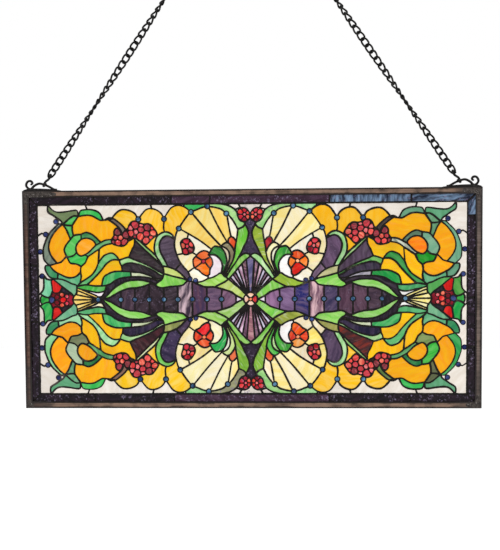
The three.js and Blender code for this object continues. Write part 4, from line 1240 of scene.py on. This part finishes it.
class PANEL_OT_glass(bpy.types.Operator):
    """Cuts every piece of sheet glass and every nugget and sets them in their zones"""

    bl_idname = "panel.glass"
    bl_label = "Glass"

    def execute(self, context):
        drawing = the_drawing()
        rng = random.Random(21)
        glasses = {}
        for x, z, glass in SEEDS:
            for place, sx, sz in QUARTERS:
                piece = drawing.piece_at(x * sx, z * sz)
                if piece is not None:
                    glasses.setdefault(piece, (glass, place))
        round_pieces = {drawing.piece_at(*made[0]) for made in drawing.rounds}
        finder = ZoneFinder()
        shapes = {name: Shape() for name in finder.zones}
        thickness = sizes().glass_thickness
        for number, group in enumerate(drawing.pieces):
            if number in round_pieces:
                continue
            biggest = max(group, key=lambda index: drawing.area([index]))
            corners = [drawing.verts[i] for i in drawing.faces[biggest]]
            middle = sum(corners, Vector((0.0, 0.0))) / 3
            node = finder.find(real(middle.x, middle.y))
            if abs(middle.x) > FIELD[0] or abs(middle.y) > FIELD[1]:
                place = quarter_of(middle.x, middle.y)
                # Border pieces toward the upper right take the glass whose streaks are a painted reflection
                in_painted_reflection = middle.x > PAINTED_REFLECTION_START[0] and middle.y > PAINTED_REFLECTION_START[1]
                glass = "border_shine" if in_painted_reflection else "border_plum" if abs(middle.x) < PLUM_REACH else "border"
            elif number in glasses:
                glass, place = glasses[number]
            elif drawing.area(group) < SLIVER or drawing.in_bed(middle.x, middle.y):
                LEAD_SHAPE.add(*plate_shape(drawing, group, thickness, (0, 0, 0)))
                continue
            else:
                glass, place = "ground", quarter_of(middle.x, middle.y)
            lean = (rng.uniform(-LEAN, LEAN), rng.uniform(-LEAN, LEAN), 0.0)
            value = glass_value(glass, place, rng)
            if node.startswith("glass_border"):
                lean = (0, 0, 0)
            shapes[node].add(*plate_shape(drawing, group, thickness, lean), value)
        for at, _, glass, place, ring in drawing.rounds:
            node = finder.find(real(*at))
            dome = dome_shape(ring, at, sizes().nugget_dome)
            shapes[node].add(*dome, glass_value(glass, place, rng, NUGGET_SHADE))
        for node, shape in shapes.items():
            if not shape.points:
                raise RuntimeError(f"{node} got no glass")
            piece = shape.make(f"cut_{node}", SLOT_OF_NODE[node], smooth=False)
            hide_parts(node)
        return {"FINISHED"}


class PANEL_OT_solder(bpy.types.Operator):
    """Runs the solder lines, their joints and the rings of the jewels"""

    bl_idname = "panel.solder"
    bl_label = "Solder lines"

    def execute(self, context):
        drawing = the_drawing()
        rng = random.Random(3)
        half = sizes().solder_width / 2
        thick = sizes().solder_depth / 2
        deep = Vector((0, 1, 0))
        shape = LEAD_SHAPE
        joints = Shape()
        for path in drawing.paths:
            swell = rng.uniform(0.9, 1.12)
            waves = [rng.uniform(0.88, 1.14) for _ in path]
            shape.add(*swept([real(*p) for p in path],
                             lambda i, share: (half * swell * waves[i], thick * (0.94 + 0.06 * waves[i])),
                             depth_axis=deep, outline=BEAD_SECTION))
            for end in (path[0], path[-1]):
                self.blob(joints, end, half * rng.uniform(1.25, 1.6), thick * rng.uniform(0.98, 1.04))
        for path in drawing.border_paths:
            shape.add(*swept([real(*p) for p in path], lambda i, share: (half * 0.9, thick * 0.96),
                             depth_axis=deep, outline=BEAD_SECTION))
        for at, _, glass, _, ring in drawing.rounds:
            wide = half * (0.86 if glass == "jewel" else 0.62)
            grown = [(at[0] + (x - at[0]) * 1.06, at[1] + (z - at[1]) * 1.06) for x, z in ring]
            joints.add(*swept([real(*p) for p in grown], lambda i, share: (wide, thick * 0.92), closed=True,
                              depth_axis=deep, outline=BEAD_SECTION))
        for piece in (shape.make("solder_lines", "lead"), joints.make("solder_joints", "lead")):
            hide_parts("lead_net")
        return {"FINISHED"}

    def blob(self, shape, at, reach, thick):
        """A rounded bead of solder that stands out on both faces."""
        points, faces = [], []
        count = 8
        centre = real(*at)
        levels = ((-1.0, 0.0), (-0.72, 0.7), (0.0, 1.0), (0.72, 0.7), (1.0, 0.0))
        points.append(centre + Vector((0, -thick, 0)))
        for rise, share in levels[1:-1]:
            for k in range(count):
                turn = math.tau * k / count
                points.append(centre + Vector((math.cos(turn) * reach * share, rise * thick,
                                               math.sin(turn) * reach * share)))
        points.append(centre + Vector((0, thick, 0)))
        last = len(points) - 1
        for k in range(count):
            m = (k + 1) % count
            faces.append([0, 1 + k, 1 + m])
            for s in (0, 1):
                a, b = 1 + s * count + k, 1 + s * count + m
                faces.append([a, a + count, b + count, b])
            faces.append([last, 1 + 2 * count + m, 1 + 2 * count + k])
        shape.add(points, faces)


# Solder over the corners: left or right, low or high, length along the level rail. The rest are sizes in metres
CORNER_PADS = ((-1, 1, 0.062), (1, 1, 0.034), (-1, -1, 0.013), (1, -1, 0.026))
MID_PAD = 0.006
UPRIGHT_PAD = 0.022
PAD_HALF = 0.0054
PAD_LIFT = 0.0006


class PANEL_OT_frame(bpy.types.Operator):
    """Finishes the four lengths of channel and lays solder over the corners"""

    bl_idname = "panel.channel"
    bl_label = "Channel frame"

    def execute(self, context):
        for side in ("top", "right", "bottom", "left"):
            node = frame["nodes"][f"rail_{side}"]
            for slot in node.material_slots:
                slot.material = material_for("brown_channel")
        rng = random.Random(11)
        shape = Shape()
        for sx, sz, reach in CORNER_PADS:
            corner = Vector((sx * (HALF_WIDTH - MID_PAD), 0, PANEL_Z + sz * (HALF_HEIGHT - MID_PAD)))
            for front in (-1, 1):
                for leg in ((-sx, 0), (0, -sz)):
                    length = reach if leg[0] else min(reach, UPRIGHT_PAD)
                    self.pad(shape, corner, leg, length, front, rng)
        shape.make("corner_solder", "lead")
        return {"FINISHED"}

    def pad(self, shape, corner, leg, length, front, rng):
        """A thin wavy skin of solder on the face of the channel."""
        count = 9
        points, faces = [], []
        for i in range(count):
            share = i / (count - 1)
            half = PAD_HALF * (1 - share ** 3 * 0.5) * rng.uniform(0.92, 1.04)
            lift = PAD_LIFT * (1 - share ** 2) * rng.uniform(0.7, 1.1)
            for across in (-1, -0.5, 0.5, 1):
                rise = lift if abs(across) < 1 else 0.0
                at = corner + Vector((leg[0], 0, leg[1])) * (length * share - 0.003)
                at += Vector((leg[1], 0, -leg[0])) * (half * across)
                at.y = front * (RAIL_DEPTH + rise - 0.00005)
                points.append(at)
        for i in range(count - 1):
            for k in range(3):
                a = i * 4 + k
                faces.append([a, a + 1, a + 5, a + 4])
        shape.add(points, faces)


# Places of the hanging parts, as in the solids
SEAT = Vector((0.0052, 0, -0.01425))
HANGER_START = Vector((HALF_WIDTH - 0.0615, 0, FRAME_TOP + 0.0019))
CROWN = HANGER_START + Vector((0.022, 0, 0.0097))
PULL = (SEAT - CROWN).normalized()
ACROSS = Vector((PULL.z, 0, -PULL.x))
TOP_RUNG = SEAT + PULL * 0.00468
LOW_LOOP = CROWN + PULL * 0.00085
HOOK_SPAN = 0.0155
HOOK_RADIUS = 0.0043
HOOK_TURN = math.pi / 6
BOTTOM_RUNG = LOW_LOOP + PULL * HOOK_SPAN
LEG_LENGTH = (TOP_RUNG - BOTTOM_RUNG).length
QUARTER_TURNS = 5
LOOP_POINTS = 20
SQUARENESS = 0.85
RING_STRAIGHT, RING_RADIUS, RING_WIRE = 0.0085, 0.008, 0.0035
# How far from the lower end a link lies flat to the front
TWIST_START = 0.052
SIDES = (("right", 1), ("left", -1))
# The bend of a hanger in millimetres from its inner end, and its foot: place, half height, half depth
HANGER_ROUTE = [(0, 0), (5, 0.6), (14, 5.6), (23, 9.4), (32, 11.2), (40.5, 7.4), (47, 1.6), (52.6, 3.8),
                (55.2, 9), (52.2, 15), (46.8, 15.8), (43.8, 12), (47.2, 9.2)]
FOOT = ((-0.007, 0.0005, 0.0012), (0.002, 0.0011, 0.0026), (0.014, 0.0019, 0.0036), (0.03, 0.0023, 0.0039),
        (0.045, 0.0024, 0.0041), (0.054, 0.0019, 0.0038), (0.0605, 0.0009, 0.0022))
# Beads of solder where the wire meets the foot: place, height and reach, and the radius along a bead
MOUNDS = ((0.003, 0.0004, 0.0032), (0.0455, 0.0008, 0.0036))
MOUND_RADII = (0.0006, 0.0016, 0.0024, 0.0016, 0.0006)


def flipped(points, faces, side):
    if side > 0:
        return points, faces
    return [Vector((-p.x, p.y, p.z)) for p in points], [face[::-1] for face in faces]


class PANEL_OT_hangers(bpy.types.Operator):
    """Bends the two wire hangers and solders them on the frame"""

    bl_idname = "panel.hangers"
    bl_label = "Hangers"

    def execute(self, context):
        radius = sizes().wire_diameter / 2
        path = [HANGER_START + Vector((x * MM, 0, z * MM)) for x, z in smoothed(HANGER_ROUTE, 1.2)]
        foot = [HANGER_START + Vector((x, 0, high - 0.0021)) for x, high, _ in FOOT]
        tubes = [swept(path, lambda i, share: (radius * (1 - 0.25 * max(0, share - 0.93) / 0.07),) * 2),
                 swept(foot, lambda i, share: (FOOT[i][2], FOOT[i][1]), depth_axis=Vector((0, 0, 1)),
                       outline=BEAD_SECTION)]
        for x, z, reach in MOUNDS:
            mound = [HANGER_START + Vector((x + reach * t, 0, z - 0.0012)) for t in (-1, -0.6, 0, 0.6, 1)]
            tubes.append(swept(mound, lambda i, share: (MOUND_RADII[i],) * 2))
        for name, side in SIDES:
            shape = Shape()
            for points, faces in tubes:
                shape.add(*flipped(points, faces, side))
            piece = shape.make(f"wire_hanger_{name}", "dark_wire")
            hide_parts(f"hanger_{name}")
        return {"FINISHED"}


class PANEL_OT_hooks(bpy.types.Operator):
    """Bends the two open hooks"""

    bl_idname = "panel.hooks"
    bl_label = "Hooks"

    def execute(self, context):
        r = HOOK_RADIUS
        tilt = Vector((0, -1, 0)) * math.cos(HOOK_TURN) - ACROSS * math.sin(HOOK_TURN)
        d = r * math.sqrt(0.5)
        half = [(r * 0.7, r), (0, r), (-d, d), (-r, 0), (-d, -d), (0, -r), (r, -r)]
        upper = [(HOOK_SPAN - u, -v) for u, v in reversed(half)]
        radius = sizes().hook_wire / 2
        flat = smoothed([(u / MM, v / MM) for u, v in half + upper], 0.9)
        path = [LOW_LOOP + PULL * (u * MM) + tilt * (v * MM) for u, v in flat]
        wire = swept(path, lambda i, share: (radius,) * 2, depth_axis=PULL.cross(tilt).normalized())
        for name, side in SIDES:
            shape = Shape()
            shape.add(*flipped(*wire, side))
            piece = shape.make(f"open_hook_{name}", "black_chain")
            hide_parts(f"hook_{name}")
        return {"FINISHED"}


class PANEL_OT_chain(bpy.types.Operator):
    """Links both legs of the chain and closes the ring that they hang on"""

    bl_idname = "panel.chain"
    bl_label = "Chain"

    def execute(self, context):
        count = sizes().link_count
        wire = sizes().link_wire
        pitch = LEG_LENGTH / count
        length = (pitch + wire) / 2
        width = (sizes().link_width - wire) / 2
        weave = wire / 2
        for name, side in SIDES:
            shape = Shape()
            for i in range(count):
                middle = (i + 0.5) * pitch
                loop = []
                for k in range(LOOP_POINTS):
                    t = math.tau * k / LOOP_POINTS
                    u = math.copysign(abs(math.cos(t)) ** SQUARENESS, math.cos(t)) * length
                    v = math.copysign(abs(math.sin(t)) ** SQUARENESS, math.sin(t)) * width
                    w = math.sin(2 * t) * weave
                    angle = QUARTER_TURNS * math.pi / 2 * (middle + u - TWIST_START) / (LEG_LENGTH - TWIST_START)
                    point = BOTTOM_RUNG + PULL * (middle + u)
                    point += ACROSS * (v * math.cos(angle) - w * math.sin(angle))
                    point.y += v * math.sin(angle) + w * math.cos(angle)
                    loop.append(point)
                shape.add(*flipped(*round_loop(loop, wire / 2), side))
            piece = shape.make(f"curb_chain_{name}", "black_chain")
            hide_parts(f"chain_leg_{name}")
        loop = []
        for side in (1, -1):
            for k in range(13):
                angle = side * math.pi / 2 - math.pi * k / 12
                loop.append(Vector((side * RING_STRAIGHT + RING_RADIUS * math.cos(angle), 0,
                                    RING_WIRE / 2 - RING_RADIUS + RING_RADIUS * math.sin(angle))))
        shape = Shape()
        shape.add(*swept(loop, lambda i, share: (RING_WIRE / 2,) * 2, closed=True, depth_axis=Vector((0, 1, 0))))
        piece = shape.make("top_ring", "black_chain")
        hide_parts("chain_ring")
        return {"FINISHED"}


def round_loop(loop, radius):
    """A closed wire of round section round a loop that bends in space."""
    count = len(loop)
    middle = sum(loop, Vector()) / count
    points = []
    sides = 8
    for i, p in enumerate(loop):
        along = (loop[(i + 1) % count] - loop[i - 1]).normalized()
        outward = p - middle
        outward = (outward - along * outward.dot(along)).normalized()
        up = along.cross(outward)
        for k in range(sides):
            turn = math.tau * k / sides
            points.append(p + outward * (math.cos(turn) * radius) + up * (math.sin(turn) * radius))
    return points, tube_faces(count, sides, True)


# The stage: floor reach, drop and glow, lamps (name, place, watts, size) and the camera
FLOOR_REACH = 4.0
FLOOR_DROP = 0.45
FLOOR_GLOW = 0.12
LAMPS = (("key", (-1.1, -1.6, 0.5), 3, 0.3), ("fill", (1.3, -1.3, -0.4), 1, 0.8),
         ("rim", (0.4, 1.4, 0.3), 3, 1.6))
CAMERA_AT = (0.0481, -1.3553, -0.6559)
CAMERA_TURN = (1.53, 0.0072, 0.0359)
CAMERA_LENS = 50


class PANEL_OT_stage(bpy.types.Operator):
    """Sets the floor, the soft light and the camera"""

    bl_idname = "panel.stage"
    bl_label = "Stage"

    def execute(self, context):
        scene = context.scene
        scene.view_settings.view_transform = "Standard"
        world = bpy.data.worlds.new("studio")
        scene.world = world
        world.use_nodes = True
        back = world.node_tree.nodes["Background"]
        back.inputs["Strength"].default_value = 1.0
        back.inputs["Color"].default_value = (1, 1, 1, 1)
        floor_mesh = bpy.data.meshes.new("floor")
        reach, level = FLOOR_REACH, FRAME_LOW[2] - FLOOR_DROP
        floor_mesh.from_pydata([(-reach, -reach, level), (reach, -reach, level), (reach, reach, level),
                                (-reach, reach, level)], [], [[0, 1, 2, 3]])
        floor = bpy.data.objects.new("floor", floor_mesh)
        material, place, shader = start_material("floor_white")
        pale = place.noise(3).mix(srgb(252, 252, 252), srgb(248, 248, 248))
        feed(place, shader, Base_Color=pale, Emission_Color=pale, Emission_Strength=FLOOR_GLOW, Roughness=0.8)
        floor_mesh.materials.append(material)
        scene.collection.objects.link(floor)
        for name, at, energy, size in LAMPS:
            lamp = bpy.data.lights.new(name, "AREA")
            lamp.energy = energy
            lamp.size = size
            holder = bpy.data.objects.new(name, lamp)
            holder.location = at
            holder.rotation_euler = (Vector((0, 0, PANEL_Z)) - Vector(at)).to_track_quat("-Z", "Y").to_euler()
            scene.collection.objects.link(holder)
        lens = bpy.data.cameras.new("camera")
        lens.lens = CAMERA_LENS
        camera = bpy.data.objects.new("camera", lens)
        camera.location = CAMERA_AT
        camera.rotation_euler = CAMERA_TURN
        scene.collection.objects.link(camera)
        scene.camera = camera
        return {"FINISHED"}


class PANEL_PT_sidebar(bpy.types.Panel):
    """Lists the pieces of the panel"""

    bl_label = "Leaded glass panel"
    bl_idname = "PANEL_PT_sidebar"
    bl_space_type = "VIEW_3D"
    bl_region_type = "UI"
    bl_category = "Panel"

    def draw(self, context):
        for kind in (context.scene.panel_sizes, context.scene.panel_colours):
            for key in kind.__annotations__:
                self.layout.prop(kind, key)
        for operator in OPERATORS:
            self.layout.operator(operator.bl_idname)


OPERATORS = (PANEL_OT_stage, PANEL_OT_glass, PANEL_OT_solder, PANEL_OT_frame, PANEL_OT_hangers, PANEL_OT_hooks,
             PANEL_OT_chain)
CLASSES = (PanelSizes, PanelColours, *OPERATORS, PANEL_PT_sidebar)


def register():
    for cls in CLASSES:
        bpy.utils.register_class(cls)
    bpy.types.Scene.panel_sizes = PointerProperty(type=PanelSizes)
    bpy.types.Scene.panel_colours = PointerProperty(type=PanelColours)


def unregister():
    del bpy.types.Scene.panel_colours
    del bpy.types.Scene.panel_sizes
    for cls in reversed(CLASSES):
        bpy.utils.unregister_class(cls)


def main():
    register()
    bpy.ops.panel.stage()
    bpy.ops.panel.glass()
    bpy.ops.panel.solder()
    bpy.ops.panel.channel()
    bpy.ops.panel.hangers()
    bpy.ops.panel.hooks()
    bpy.ops.panel.chain()


if __name__ == "__main__":
    main()
